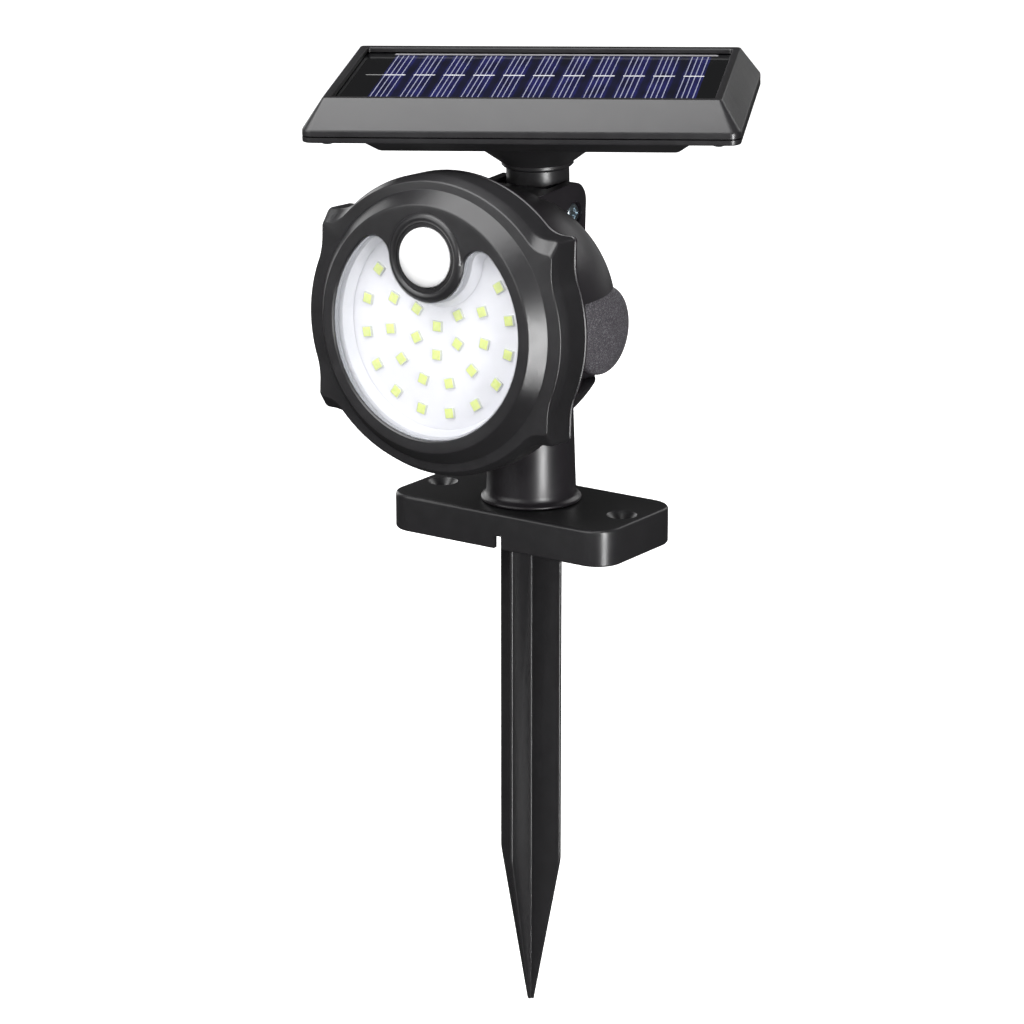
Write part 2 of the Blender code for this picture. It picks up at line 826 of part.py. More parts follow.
def post_channel(extra=0.0):
    """The slot in which the post stands, wide enough for the head's whole tilt."""
    start = math.degrees(CHANNEL_DOWN) - 90
    end = math.degrees(CHANNEL_UP) - 90
    outline = channel_outline(CHANNEL_RADIUS + extra, start, end, (0.0, 0.0))
    return prism("X", outline, -CHEEK - extra, CHEEK + extra)


def neck_channel(extra=0.0):
    """The slot on top in which the neck of the panel stands."""
    end = 90.0
    start = 90.0 - math.degrees(HINGE_CHANNEL_BACK)
    outline = channel_outline(HINGE_CHANNEL_RADIUS + extra, start, end, (HINGE_Y, HINGE_RISE))
    return prism("X", outline, -EAR_INNER - extra, EAR_INNER + extra)


def ear_outline():
    """The side view of both ears, from inside the dome to the round back corner."""
    back = HINGE_Y + EAR_BACK
    top = HINGE_RISE + EAR_TOP
    front = HINGE_Y - 0.024
    root = HINGE_RISE - 0.014
    points = [(front, root), (back - 0.004, root), (back, root + 0.006)]
    points += arc((back - EAR_CORNER, top - EAR_CORNER), EAR_CORNER, 0, 90)
    points.append((front, top - EAR_SLOPE * (back - EAR_CORNER - front)))
    return points


def build_rear_shell(frame, finish):
    """The rear shell: lip with screw lugs, dome, pivot bosses, neck ears and button boss."""
    front = SEAM_Y + GAP
    lip = lug_outline(SHOULDER_HALVES, SHOULDER_LUG)
    shell = add_object("rear_shell", prism("Y", lip, front, LIP_Y, LAMP_RISE), frame, finish)
    axis = (0.0, LAMP_RISE)
    dome = [(0.0, front + 0.0005), (DOME_RADIUS, front + 0.0005), *dome_profile()]
    join(shell, turned("Y", dome, axis, LARGE_ROUND), frame)
    join(shell, cylinder("X", BOSS_RADIUS, -BOSS_HALF, BOSS_HALF, steps=ROUND), frame)
    join(shell, prism("X", ear_outline(), -EAR_OUTER, EAR_OUTER), frame)
    button = (0.0, BUTTON_RISE)
    join(shell, cylinder("Y", BUTTON_BOSS, 0.006, BUTTON_FACE_Y, button, 24), frame)

    inner = [(0.0, front - 0.001), (DOME_RADIUS - HEAD_WALL, front - 0.001)]
    inner += dome_profile(HEAD_WALL)
    hollow = cut(shell, turned("Y", inner, axis, LARGE_ROUND), frame)
    cut(hollow, post_channel(HEAD_WALL), frame)
    cut(hollow, neck_channel(HEAD_WALL), frame)
    solid_boss = merged(
        cylinder("X", BOSS_RADIUS, CHEEK, BOSS_HALF + 0.001, steps=ROUND),
        cylinder("X", BOSS_RADIUS, -BOSS_HALF - 0.001, -CHEEK, steps=ROUND),
    )
    cut(hollow, solid_boss, frame)
    pocket = POCKET_HALF + HEAD_WALL
    floor = BOSS_HALF - HEAD_WALL
    for side in (-1, 1):
        ends = sorted((side * floor, side * 0.08))
        walls = box((ends[0], LIP_Y - 0.001, -pocket), (ends[1], 0.04, pocket))
        cut(hollow, walls, frame)
    cut(hollow, cylinder("Y", BUTTON_BOSS, 0.0061, 0.03, button, 24), frame)

    cut(shell, post_channel(), frame)
    cut(shell, neck_channel(), frame)
    for side in (-1, 1):
        ends = sorted((side * BOSS_HALF, side * 0.08))
        cut(shell, box((ends[0], LIP_Y, -POCKET_HALF), (ends[1], 0.04, POCKET_HALF)), frame)
    build_shell_bores(shell, frame)
    return shell


def build_shell_bores(shell, frame):
    """Drills the rear shell: pivot, hinge, housing screws and button well."""
    cut(shell, cylinder("X", PIVOT_BOLT_RADIUS + BORE_CLEARANCE, -0.05, 0.05), frame)
    recess = PIVOT_HEAD_RADIUS + 0.0007
    recess_floor = BOSS_HALF - PIVOT_HEAD_THICKNESS - 0.0009
    for side in (-1, 1):
        ends = sorted((side * recess_floor, side * (BOSS_HALF + 0.001)))
        cut(shell, cylinder("X", recess, *ends), frame)
    hinge = (HINGE_Y, HINGE_RISE)
    cut(shell, cylinder("X", HINGE_BOLT_RADIUS + BORE_CLEARANCE, -0.05, 0.05, hinge), frame)
    for side in (-1, 1):
        ends = sorted((side * (EAR_OUTER - HINGE_RECESS), side * (EAR_OUTER + 0.001)))
        cut(shell, cylinder("X", HINGE_RECESS_RADIUS, *ends, hinge, 18), frame)
    for place_xz in lug_screw_places():
        cut(shell, cylinder("Y", LUG_SCREW_RADIUS + GAP, -0.06, 0.0, place_xz, 12), frame)
    button = (0.0, BUTTON_RISE)
    wall_inside = BUTTON_FACE_Y - BUTTON_WALL
    cut(shell, cylinder("Y", BUTTON_RADIUS + GAP, 0.0, 0.03, button, 24), frame)
    cut(shell, cylinder("Y", BUTTON_WELL, 0.0, wall_inside, button, 24), frame)


def build_housing_screws(frame, finish):
    """Four screws from behind, through the shell's lugs into the bezel's."""
    names = ("upper_left", "upper_right", "lower_left", "lower_right")
    for name, centre in zip(names, lug_screw_places()):
        screw = pan_screw(
            LUG_SCREW_HEAD, 0.0018, LUG_SCREW_RADIUS, LUG_SCREW_LENGTH, "Y", LIP_Y + GAP, -1, centre
        )
        add_object(f"housing_screw_{name}", screw, frame, finish)


def build_electronics(frame, board_finish, cell_finish, holder_finish, metal_finish):
    """The control board, the battery cell, its holder and two contacts."""
    width, thickness, height = CONTROL_BOARD
    centre_z = LAMP_RISE + BATTERY_RISE
    holder_front = BATTERY_Y - BATTERY_RADIUS - HOLDER_WALL - GAP
    board_back = holder_front - GAP
    low = (-width / 2, board_back - thickness, centre_z - height / 2)
    high = (width / 2, board_back, centre_z + height / 2)
    board = add_object("control_board", box(low, high), frame, board_finish)
    front = board_back - thickness
    parts = []
    for x, z, size_x, size_z, rise in (
        (-0.014, 0.006, 0.008, 0.006, 0.0015),
        (0.010, 0.008, 0.007, 0.007, 0.0024),
        (0.018, -0.008, 0.006, 0.010, 0.002),
    ):
        corner = (x - size_x / 2, front - rise, centre_z + z - size_z / 2)
        parts.append(
            box(corner, (x + size_x / 2, front + 0.0004, centre_z + z + size_z / 2))
        )
    join(board, merged(*parts), frame)

    middle = (0.0, BATTERY_Y)
    half = BATTERY_LENGTH / 2
    profile = [
        (0.0, centre_z - half),
        (BATTERY_RADIUS, centre_z - half),
        (BATTERY_RADIUS, centre_z + half - 0.0015),
        (0.003, centre_z + half - 0.0015),
        (0.003, centre_z + half),
        (0.0, centre_z + half),
    ]
    add_object("battery_cell", turned("Z", profile, middle, 28), frame, cell_finish)

    inside = half + GAP + CONTACT_THICKNESS + GAP
    span = BATTERY_RADIUS + HOLDER_WALL
    low = (-span, holder_front, centre_z - inside - HOLDER_WALL)
    high = (span, BATTERY_Y, centre_z + inside + HOLDER_WALL)
    holder = add_object("battery_holder", box(low, high), frame, holder_finish)
    ends = (centre_z - inside, centre_z + inside)
    cut(holder, cylinder("Z", BATTERY_RADIUS + GAP, *ends, middle, 28), frame)
    for name, side in (("bottom", -1), ("top", 1)):
        ends = sorted((side * (half + GAP), side * (half + GAP + CONTACT_THICKNESS)))
        plate = box(
            (-0.004, BATTERY_Y - 0.005, centre_z + ends[0]),
            (0.004, BATTERY_Y + 0.003, centre_z + ends[1]),
        )
        add_object(f"battery_contact_{name}", plate, frame, metal_finish)


def build_mode_button(frame, button_finish, switch_finish):
    """The push-button on the back of the head, and the switch in front of it."""
    centre = (0.0, BUTTON_RISE)
    wall_inside = BUTTON_FACE_Y - BUTTON_WALL
    outer = BUTTON_FACE_Y + BUTTON_PROUD
    flange_front = wall_inside - GAP - 0.0012
    profile = [
        (0.0, outer),
        (BUTTON_RADIUS - 0.0008, outer),
        (BUTTON_RADIUS, outer - 0.0007),
        (BUTTON_RADIUS, wall_inside - GAP),
        (BUTTON_FLANGE, wall_inside - GAP),
        (BUTTON_FLANGE, flange_front),
        (0.0, flange_front),
    ]
    add_object("mode_button", turned("Y", profile, centre, 20), frame, button_finish)
    stem_end = flange_front - GAP - BUTTON_TRAVEL
    switch = add_object(
        "mode_switch",
        cylinder("Y", BUTTON_FLANGE, stem_end - 0.0052, stem_end - 0.004, centre),
        frame,
        switch_finish,
    )
    half = 0.003
    low = (-half, stem_end - 0.0045, BUTTON_RISE - half)
    join(switch, box(low, (half, stem_end - 0.001, BUTTON_RISE + half)), frame)
    join(switch, cylinder("Y", 0.0016, stem_end - 0.0015, stem_end, centre, 16), frame)


def build_pivot(frame, metal_finish, cap_finish, washer_finish):
    """The pivot bolt, its nut, two friction washers and the two domed side caps."""
    recess_floor = BOSS_HALF - PIVOT_HEAD_THICKNESS - 0.0009
    seat = recess_floor + GAP
    thickness = PIVOT_HEAD_THICKNESS
    bolt = [
        (0.0, -seat - thickness),
        (PIVOT_BOLT_RADIUS, -seat - thickness),
        (PIVOT_BOLT_RADIUS, seat),
        (PIVOT_HEAD_RADIUS, seat),
        (PIVOT_HEAD_RADIUS, seat + thickness * 0.6),
        (PIVOT_HEAD_RADIUS * 0.7, seat + thickness),
        (0.0, seat + thickness),
    ]
    add_object("pivot_bolt", turned("X", bolt, steps=16), frame, metal_finish)
    nut = add_object(
        "pivot_nut",
        prism("X", circle(PIVOT_HEAD_RADIUS, 6), -seat - thickness * 0.8, -seat),
        frame,
        metal_finish,
    )
    cut(nut, cylinder("X", PIVOT_BOLT_RADIUS + GAP, -1.0, 1.0), frame)
    middle = (BARREL_HALF + CHEEK) / 2
    half = PIVOT_WASHER_THICKNESS / 2
    for name, side in (("left", -1), ("right", 1)):
        ring = [
            (PIVOT_BOLT_RADIUS + BORE_CLEARANCE, side * middle - half),
            (PIVOT_WASHER_RADIUS, side * middle - half),
            (PIVOT_WASHER_RADIUS, side * middle + half),
            (PIVOT_BOLT_RADIUS + BORE_CLEARANCE, side * middle + half),
        ]
        add_object(f"pivot_washer_{name}", turned("X", ring, steps=20), frame, washer_finish)
        base = BOSS_HALF + GAP
        cap = [(0.0, side * (base + 0.0008)), (0.006, side * (base + 0.0008)), (0.006, side * base)]
        cap += [(CAP_RADIUS, side * base), (CAP_RADIUS, side * (base + CAP_RIM * 0.7))]
        for index in range(1, 6):
            turn = math.radians(90 * index / 5)
            radius = (CAP_RADIUS - 0.0003) * math.cos(turn)
            height = base + CAP_RIM + CAP_CROWN * math.sin(turn)
            cap.append((radius if index < 5 else 0.0, side * height))
        add_object(f"pivot_cap_{name}", turned("X", cap, steps=28), frame, cap_finish)


# ---------------------------------------------------------------- neck and solar panel
def build_neck(frame, finish):
    """The neck: a cross barrel between the ears, a round column and a bored spigot."""
    half = EAR_INNER - GAP - 0.0002
    barrel = cylinder("X", NECK_BARREL_RADIUS, -half, half, steps=32)
    neck = add_object("panel_neck", barrel, frame, finish)
    column = [
        (0.0, 0.0),
        (NECK_RADIUS, 0.0),
        (NECK_RADIUS, NECK_SHOULDER - GAP),
        (SPIGOT_RADIUS, NECK_SHOULDER - GAP),
        (SPIGOT_RADIUS, clip_base() - GAP),
        (SPIGOT_RADIUS - CLIP_GROOVE, clip_base() - GAP),
        (SPIGOT_RADIUS - CLIP_GROOVE, clip_base() + CLIP_THICKNESS + GAP),
        (SPIGOT_RADIUS, clip_base() + CLIP_THICKNESS + GAP),
        (SPIGOT_RADIUS, SPIGOT_TOP),
        (0.0, SPIGOT_TOP),
    ]
    join(neck, turned("Z", column, steps=28), frame)
    cut(neck, cylinder("Z", NECK_BORE, NECK_RADIUS, 0.1, steps=20), frame)
    cut(neck, cylinder("X", HINGE_BOLT_RADIUS + BORE_CLEARANCE, -1.0, 1.0), frame)
    return neck


def clip_base():
    """Height of the retaining clip, just above the tray's floor."""
    return PANEL_TOP - TRAY_BOTTOM + TRAY_WALL + GAP


def build_hinge_bolt(frame, finish):
    """The zinc bolt and nut that clamp the neck between the ears."""
    centre = (HINGE_Y, HINGE_RISE)
    seat = EAR_OUTER - HINGE_RECESS + GAP
    bolt = [
        (0.0, -EAR_OUTER),
        (HINGE_BOLT_RADIUS, -EAR_OUTER),
        (HINGE_BOLT_RADIUS, seat),
        (HINGE_HEAD_RADIUS, seat),
        (HINGE_HEAD_RADIUS, seat + 0.0009),
        (HINGE_HEAD_RADIUS * 0.6, seat + 0.0015),
        (0.0, seat + 0.0015),
    ]
    add_object("hinge_bolt", turned("X", bolt, centre, 16), frame, finish)
    nut = add_object(
        "hinge_nut",
        prism("X", circle(HINGE_HEAD_RADIUS, 6, centre), -seat - 0.0014, -seat),
        frame,
        finish,
    )
    cut(nut, cylinder("X", HINGE_BOLT_RADIUS + GAP, -1.0, 1.0, centre), frame)


def build_swivel_clip(frame, finish):
    """The ring clip that keeps the panel on the neck's spigot."""
    inner = SPIGOT_RADIUS - CLIP_GROOVE + GAP
    low = clip_base()
    profile = [
        (inner, low),
        (CLIP_RADIUS, low),
        (CLIP_RADIUS, low + CLIP_THICKNESS),
        (inner, low + CLIP_THICKNESS),
    ]
    return add_object("swivel_clip", turned("Z", profile, steps=20), frame, finish)


def panel_outline(inset):
    """The panel's plan, inset from its widest line."""
    corner = max(FRAME_CORNER - inset, 0.0012)
    return rounded_rectangle(PANEL_HALF_LENGTH - inset, PANEL_HALF_WIDTH - inset, corner, 4)


def build_panel_frame(frame, finish):
    """The bevelled black frame, open below, with a recessed window and four screw blocks."""
    bevel_low = PANEL_TOP - BEVEL_HEIGHT
    bottom = PANEL_TOP - FRAME_HEIGHT
    slope = BEVEL_WIDTH / BEVEL_HEIGHT
    made = add_object(
        "panel_frame",
        stack(
            "Z",
            (panel_outline(0), bottom),
            (panel_outline(0), bevel_low),
            (panel_outline(BEVEL_WIDTH), PANEL_TOP),
        ),
        frame,
        finish,
    )
    roof = PANEL_TOP - RIM_THICKNESS
    roof_inset = BEVEL_WIDTH - RIM_THICKNESS * slope + FRAME_WALL
    hollow = stack(
        "Z",
        (panel_outline(FRAME_WALL), bottom - 0.001),
        (panel_outline(FRAME_WALL), bevel_low),
        (panel_outline(roof_inset), roof),
    )
    tool = cut(made, hollow, frame)
    top = PANEL_TOP - RIM_THICKNESS - GAP * 2 - LAMINATE_THICKNESS
    block_low = bottom + SEAL_HEIGHT + GAP
    for side_x in (-1, 1):
        for side_y in (-1, 1):
            x, y = side_x * panel_screw_x(), side_y * panel_screw_y()
            half = CORNER_BLOCK / 2
            low = (x - half, y - half, block_low)
            cut(tool, box(low, (x + half, y + half, top)), frame)
    window = panel_outline(BEVEL_WIDTH + RIM_WIDTH)
    cut(made, prism("Z", window, roof - 0.001, PANEL_TOP + 0.001), frame)
    for side_x in (-1, 1):
        for side_y in (-1, 1):
            centre = (side_x * panel_screw_x(), side_y * panel_screw_y())
            hole_top = screw_seat() + PANEL_SCREW_LENGTH + GAP
            hole = cylinder("Z", PANEL_SCREW_RADIUS + GAP, 0.0, hole_top, centre, 12)
            cut(made, hole, frame)
    return made


def panel_screw_x():
    """Half the spacing of the panel screws along the panel."""
    return PANEL_HALF_LENGTH - FRAME_WALL - CORNER_BLOCK / 2 - 0.0018


def panel_screw_y():
    """Half the spacing of the panel screws across the panel."""
    return PANEL_HALF_WIDTH - FRAME_WALL - CORNER_BLOCK / 2 - 0.0018


def screw_seat():
    """Height of the face that the panel screws' heads bear on."""
    return PANEL_TOP - TRAY_FLANGE_BOTTOM - GAP


def build_solar_laminate(frame, finish):
    """The board of solar cells under its clear cover, held below the rim of the frame."""
    top = PANEL_TOP - RIM_THICKNESS - GAP
    outline = panel_outline(BEVEL_WIDTH + RIM_WIDTH - LAMINATE_LAP)
    laminate = prism("Z", outline, top - LAMINATE_THICKNESS, top)
    return add_object("solar_laminate", laminate, frame, finish)


def build_panel_seal(frame, finish):
    """The seal that runs round inside the parting line of the panel."""
    low = PANEL_TOP - FRAME_HEIGHT
    outer = panel_outline(FRAME_WALL + GAP)
    inner = panel_outline(FRAME_WALL + GAP + SEAL_WIDTH)
    seal = add_object("panel_seal", prism("Z", outer, low, low + SEAL_HEIGHT), frame, finish)
    cut(seal, prism("Z", inner, low - 0.001, low + SEAL_HEIGHT + 0.001), frame)
    return seal


def build_panel_tray(frame, finish):
    """The back cover: flange, chamfered pan and the conical pedestal that turns on the neck."""
    flange_top = PANEL_TOP - FRAME_HEIGHT - GAP
    flange_low = PANEL_TOP - TRAY_FLANGE_BOTTOM
    bottom = PANEL_TOP - TRAY_BOTTOM
    shape = [(panel_outline(0), flange_top), (panel_outline(0), flange_low)]
    tray = add_object("panel_tray", stack("Z", *shape), frame, finish)
    pan = stack(
        "Z",
        (panel_outline(TRAY_STEP), flange_low + 0.0005),
        (panel_outline(TRAY_STEP), flange_low),
        (panel_outline(TRAY_STEP + TRAY_CHAMFER), bottom),
    )
    join(tray, pan, frame)
    pedestal = [
        (0.0, bottom + 0.0005),
        (PEDESTAL_TOP_RADIUS, bottom + 0.0005),
        (PEDESTAL_RADIUS, NECK_SHOULDER + 0.0013),
        (PEDESTAL_RADIUS, NECK_SHOULDER + 0.0004),
        (PEDESTAL_RADIUS - 0.0004, NECK_SHOULDER),
        (0.0, NECK_SHOULDER),
    ]
    join(tray, turned("Z", pedestal, steps=ROUND), frame)
    hollow = stack(
        "Z",
        (panel_outline(TRAY_STEP + TRAY_WALL), flange_top + 0.001),
        (panel_outline(TRAY_STEP + TRAY_WALL), flange_low),
        (panel_outline(TRAY_STEP + TRAY_CHAMFER + TRAY_WALL * 0.5), bottom + TRAY_WALL),
    )
    cut(tray, hollow, frame)
    cut(tray, cylinder("Z", SPIGOT_RADIUS + BORE_CLEARANCE, 0.0, 0.1, steps=32), frame)
    for side_x in (-1, 1):
        for side_y in (-1, 1):
            centre = (side_x * panel_screw_x(), side_y * panel_screw_y())
            cut(tray, cylinder("Z", PANEL_SCREW_RADIUS + GAP, 0.0, 0.1, centre, 12), frame)
    return tray


def build_panel_screws(frame, finish):
    """Four screws from below, through the tray's flange into the frame's blocks."""
    for name_x, side_x in (("left", -1), ("right", 1)):
        for name_y, side_y in (("front", -1), ("back", 1)):
            centre = (side_x * panel_screw_x(), side_y * panel_screw_y())
            screw = pan_screw(
                PANEL_SCREW_HEAD,
                0.0016,
                PANEL_SCREW_RADIUS,
                PANEL_SCREW_LENGTH,
                "Z",
                screw_seat(),
                1,
                centre,
            )
            add_object(f"panel_screw_{name_y}_{name_x}", screw, frame, finish)


# ---------------------------------------------------------------- whole light
def main():
    """Clears the scene and builds every piece."""
    for old in list(bpy.data.objects):
        bpy.data.objects.remove(old)

    black = material("black_plastic", (0.030, 0.029, 0.031), 0.42)
    satin = material("textured_black_plastic", (0.045, 0.043, 0.047), 0.55)
    clear = material("clear_lens", (0.85, 0.87, 0.90), 0.08)
    white = material("white_plastic", (0.82, 0.82, 0.84), 0.45)
    sensor_white = material("sensor_dome", (0.88, 0.88, 0.88), 0.40)
    led_white = material("led_board_white", (0.86, 0.87, 0.84), 0.50)
    zinc = material("zinc_steel", (0.62, 0.66, 0.68), 0.30, 1.0)
    rubber = material("black_rubber", (0.020, 0.020, 0.020), 0.80)
    green = material("board_green", (0.020, 0.120, 0.050), 0.50)
    blue = material("battery_wrap", (0.060, 0.160, 0.420), 0.40)
    cells = material("solar_cells", (0.015, 0.020, 0.050), 0.15)
    nylon = material("washer_nylon", (0.55, 0.54, 0.50), 0.50)

    head = add_frame("head_frame", (0.0, 0.0, PIVOT_HEIGHT), (-HEAD_REST, 0.0, 0.0))
    lean = (HEAD_REST + NECK_REST, 0.0, 0.0)
    neck = add_frame("neck_frame", (0.0, HINGE_Y, HINGE_RISE), lean, head)
    panel = add_frame("panel_frame_axis", (0.0, 0.0, 0.0), (0.0, 0.0, PANEL_REST), neck)

    build_base_plate(black)
    build_ground_spike(black)
    build_post(black)
    build_post_screws(zinc)

    build_front_bezel(head, black)
    build_lens_cover(head, clear)
    build_reflector(head, white)
    build_led_board(head, led_white)
    build_sensor_lens(head, sensor_white)
    build_motion_sensor(head, zinc)
    build_head_seal(head, rubber)
    build_rear_shell(head, black)
    build_housing_screws(head, zinc)
    build_electronics(head, green, blue, black, zinc)
    build_mode_button(head, rubber, green)
    build_pivot(head, zinc, satin, nylon)
    build_hinge_bolt(head, zinc)

    build_neck(neck, black)
    build_swivel_clip(neck, zinc)

    build_panel_frame(panel, black)
    build_solar_laminate(panel, cells)
    build_panel_seal(panel, rubber)
    build_panel_tray(panel, black)
    build_panel_screws(panel, zinc)


main()
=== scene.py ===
"""Looks of the solar garden light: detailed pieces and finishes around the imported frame.

Units are metres and +Z is up. Every piece is shaped in the frame of the body that it moves
with (base, lamp head, neck or solar panel) and then put in place in its own mesh.
"""

import json
import logging
import math
from collections.abc import Callable, Sequence
from dataclasses import dataclass
from enum import Enum
from typing import ClassVar

import bmesh
import bpy
from mathutils import Matrix, Vector


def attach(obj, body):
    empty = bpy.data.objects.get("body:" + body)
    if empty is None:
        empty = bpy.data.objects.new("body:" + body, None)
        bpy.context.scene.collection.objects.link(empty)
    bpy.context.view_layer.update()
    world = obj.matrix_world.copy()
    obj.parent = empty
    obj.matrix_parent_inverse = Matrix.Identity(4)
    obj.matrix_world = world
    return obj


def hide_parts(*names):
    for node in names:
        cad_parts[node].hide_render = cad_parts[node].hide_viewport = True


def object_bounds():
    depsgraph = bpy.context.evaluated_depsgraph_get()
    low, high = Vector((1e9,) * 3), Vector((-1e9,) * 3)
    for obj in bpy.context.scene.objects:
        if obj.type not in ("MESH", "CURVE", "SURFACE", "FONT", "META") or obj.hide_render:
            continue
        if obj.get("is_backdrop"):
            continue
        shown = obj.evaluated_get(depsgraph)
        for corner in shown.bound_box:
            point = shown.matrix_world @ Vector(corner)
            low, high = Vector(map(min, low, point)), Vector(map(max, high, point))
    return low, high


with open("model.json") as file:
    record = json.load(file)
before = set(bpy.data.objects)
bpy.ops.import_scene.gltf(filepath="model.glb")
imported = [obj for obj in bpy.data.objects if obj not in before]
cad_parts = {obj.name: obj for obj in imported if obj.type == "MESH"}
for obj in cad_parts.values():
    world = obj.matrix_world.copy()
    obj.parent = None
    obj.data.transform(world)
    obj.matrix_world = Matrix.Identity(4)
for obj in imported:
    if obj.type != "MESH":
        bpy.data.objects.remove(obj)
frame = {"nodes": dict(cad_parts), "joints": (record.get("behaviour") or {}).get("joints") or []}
CAD_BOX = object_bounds()

LOG = logging.getLogger("solar_light")

Outline = list[tuple[float, float]]
Ring = list[Vector]
Colour = tuple[float, float, float]
Value = bpy.types.NodeSocket | float

GAP = 0.0003
FAR = 1.0
SAME_POINT = 1e-7
SCREW_HOLE = 0.0015
HINGE_BORE = 0.0023
PIVOT_BORE = 0.0028
HEAD_REST = math.radians(2.4)
NECK_REST = math.radians(2.2)
PANEL_REST = math.radians(27.6)
HINGE_Y = 0.0025
HINGE_RISE = 0.0363


def pivot_of(joint_name: str) -> Vector:
    """The point that a joint turns about."""
    found = next(j for j in frame["joints"] if j["name"] == joint_name)
    return Vector(found["pos_m"])


HEAD_PLACE = Matrix.Translation(pivot_of("head_tilt")) @ Matrix.Rotation(-HEAD_REST, 4, "X")
NECK_PLACE = (
    HEAD_PLACE
    @ Matrix.Translation((0.0, HINGE_Y, HINGE_RISE))
    @ Matrix.Rotation(HEAD_REST + NECK_REST, 4, "X")
)
PANEL_PLACE = NECK_PLACE @ Matrix.Rotation(PANEL_REST, 4, "Z")
BASE_PLACE = Matrix.Identity(4)


class Axis(Enum):
    """The axis that an outline is stacked or turned along."""

    X = "X"
    Y = "Y"
    Z = "Z"

    def place(self, u: float, v: float, along: float) -> Vector:
        """A point: X reads (y, z), Y reads (x, z) and Z reads (x, y)."""
        if self is Axis.X:
            return Vector((along, u, v))
        if self is Axis.Y:
            return Vector((u, along, v))
        return Vector((u, v, along))


class Slot(Enum):
    """The record's material slots, passed with each new piece."""

    BLACK = "black"
    TEXTURED = "textured_black"
    CLEAR = "clear_lens"
    WHITE = "white"
    SENSOR = "sensor_white"
    LED = "led_white"
    ZINC = "zinc"
    RUBBER = "seal_rubber"
    CELLS = "solar_cells"


# ---------------------------------------------------------------- outlines
def arc(
    centre: tuple[float, float], radius: float, start: float, end: float, steps: int
) -> Outline:
    """Points on a circle from one angle to another, in degrees, with both ends.

    Args:
        centre: The circle's centre.
        radius: Its radius.
        start: The first angle.
        end: The last angle.
        steps: How many segments the arc has.

    Returns:
        The arc's points.
    """
    turn = math.radians(end - start) / steps
    first = math.radians(start)
    return [
        (
            centre[0] + radius * math.cos(first + turn * i),
            centre[1] + radius * math.sin(first + turn * i),
        )
        for i in range(steps + 1)
    ]


def circle(radius: float, steps: int = 64, centre: tuple[float, float] = (0.0, 0.0)) -> Outline:
    """A closed circle."""
    return arc(centre, radius, 0, 360, steps)[:-1]


def rounded_rectangle(half_u: float, half_v: float, corner: float, steps: int = 10) -> Outline:
    """A rectangle with round corners, the same number of points for any size."""
    points: Outline = []
    for index, (side_u, side_v) in enumerate(((1, 1), (-1, 1), (-1, -1), (1, -1))):
        centre = (side_u * (half_u - corner), side_v * (half_v - corner))
        points += arc(centre, corner, 90 * index, 90 * index + 90, steps)
    return points


def bezier(
    start: Sequence[float], middle: Sequence[float], end: Sequence[float], steps: int
) -> Outline:
    """Points of a quadratic curve, with both ends.

    Args:
        start: The first point.
        middle: The point that the curve is drawn towards.
        end: The last point.
        steps: How many segments the curve has.

    Returns:
        The curve's points.
    """
    points: Outline = []
    for index in range(steps + 1):
        t = index / steps
        u, v = (
            (1 - t) ** 2 * a + 2 * t * (1 - t) * b + t * t * c
            for a, b, c in zip(start, middle, end)
        )
        points.append((u, v))
    return points


def soft_profile(profile: Sequence[tuple[float, float]], radius: float, steps: int = 4) -> Outline:
    """An open profile whose inner corners are rounded.

    Args:
        profile: The corner points, from one end to the other.
        radius: How far from each corner the rounding starts.
        steps: How many segments each rounding has.

    Returns:
        The profile with a short curve in place of each inner corner.
    """
    points: Outline = [profile[0]]
    for before, here, after in zip(profile, profile[1:], profile[2:]):
        corner = Vector(here)
        back, on = Vector(before) - corner, Vector(after) - corner
        start = corner + back.normalized() * min(radius, back.length * 0.45)
        end = corner + on.normalized() * min(radius, on.length * 0.45)
        points += bezier(start, corner, end, steps)
    points.append(profile[-1])
    return points


# ---------------------------------------------------------------- shapes
def rounded_rings(rings: Sequence[Ring], radii: Sequence[float], steps: int = 4) -> list[Ring]:
    """Rounds the crease at each inner ring of a loft.

    Args:
        rings: Rings of the same number of points.
        radii: One rounding for each inner ring, 0 for a crisp crease.
        steps: How many segments each rounding has.

    Returns:
        The rings with each rounded crease replaced by a row of rings.
    """
    made = [list(rings[0])]
    for before, here, after, radius in zip(rings, rings[1:], rings[2:], radii):
        if radius == 0:
            made.append(list(here))
            continue
        for step in range(steps + 1):
            t = step / steps
            row: Ring = []
            for low, corner, high in zip(before, here, after):
                back, on = low - corner, high - corner
                start = corner + back.normalized() * min(radius, back.length * 0.45)
                end = corner + on.normalized() * min(radius, on.length * 0.45)
                row.append((1 - t) ** 2 * start + 2 * t * (1 - t) * corner + t * t * end)
            made.append(row)
    made.append(list(rings[-1]))
    return made


def loft(rings: Sequence[Ring], tube: bool = False) -> bmesh.types.BMesh:
    """A closed solid through rings of points, wrapped from a grid.

    Args:
        rings: Rings of the same number of points.
        tube: Whether the last ring joins the first, in place of two end faces.

    Returns:
        The solid.
    """
    shape = bmesh.new()
    columns = len(rings[0])
    rows = len(rings) if tube else len(rings) - 1
    bmesh.ops.create_grid(shape, x_segments=columns, y_segments=rows, size=1.0)
    for vert in shape.verts:
        column = round((vert.co.x + 1) / 2 * columns) % columns
        row = round((vert.co.y + 1) / 2 * rows) % len(rings)
        vert.co = rings[row][column]
    bmesh.ops.remove_doubles(shape, verts=shape.verts, dist=SAME_POINT)
    bmesh.ops.holes_fill(shape, edges=shape.edges, sides=0)
    bmesh.ops.recalc_face_normals(shape, faces=shape.faces)
    return shape


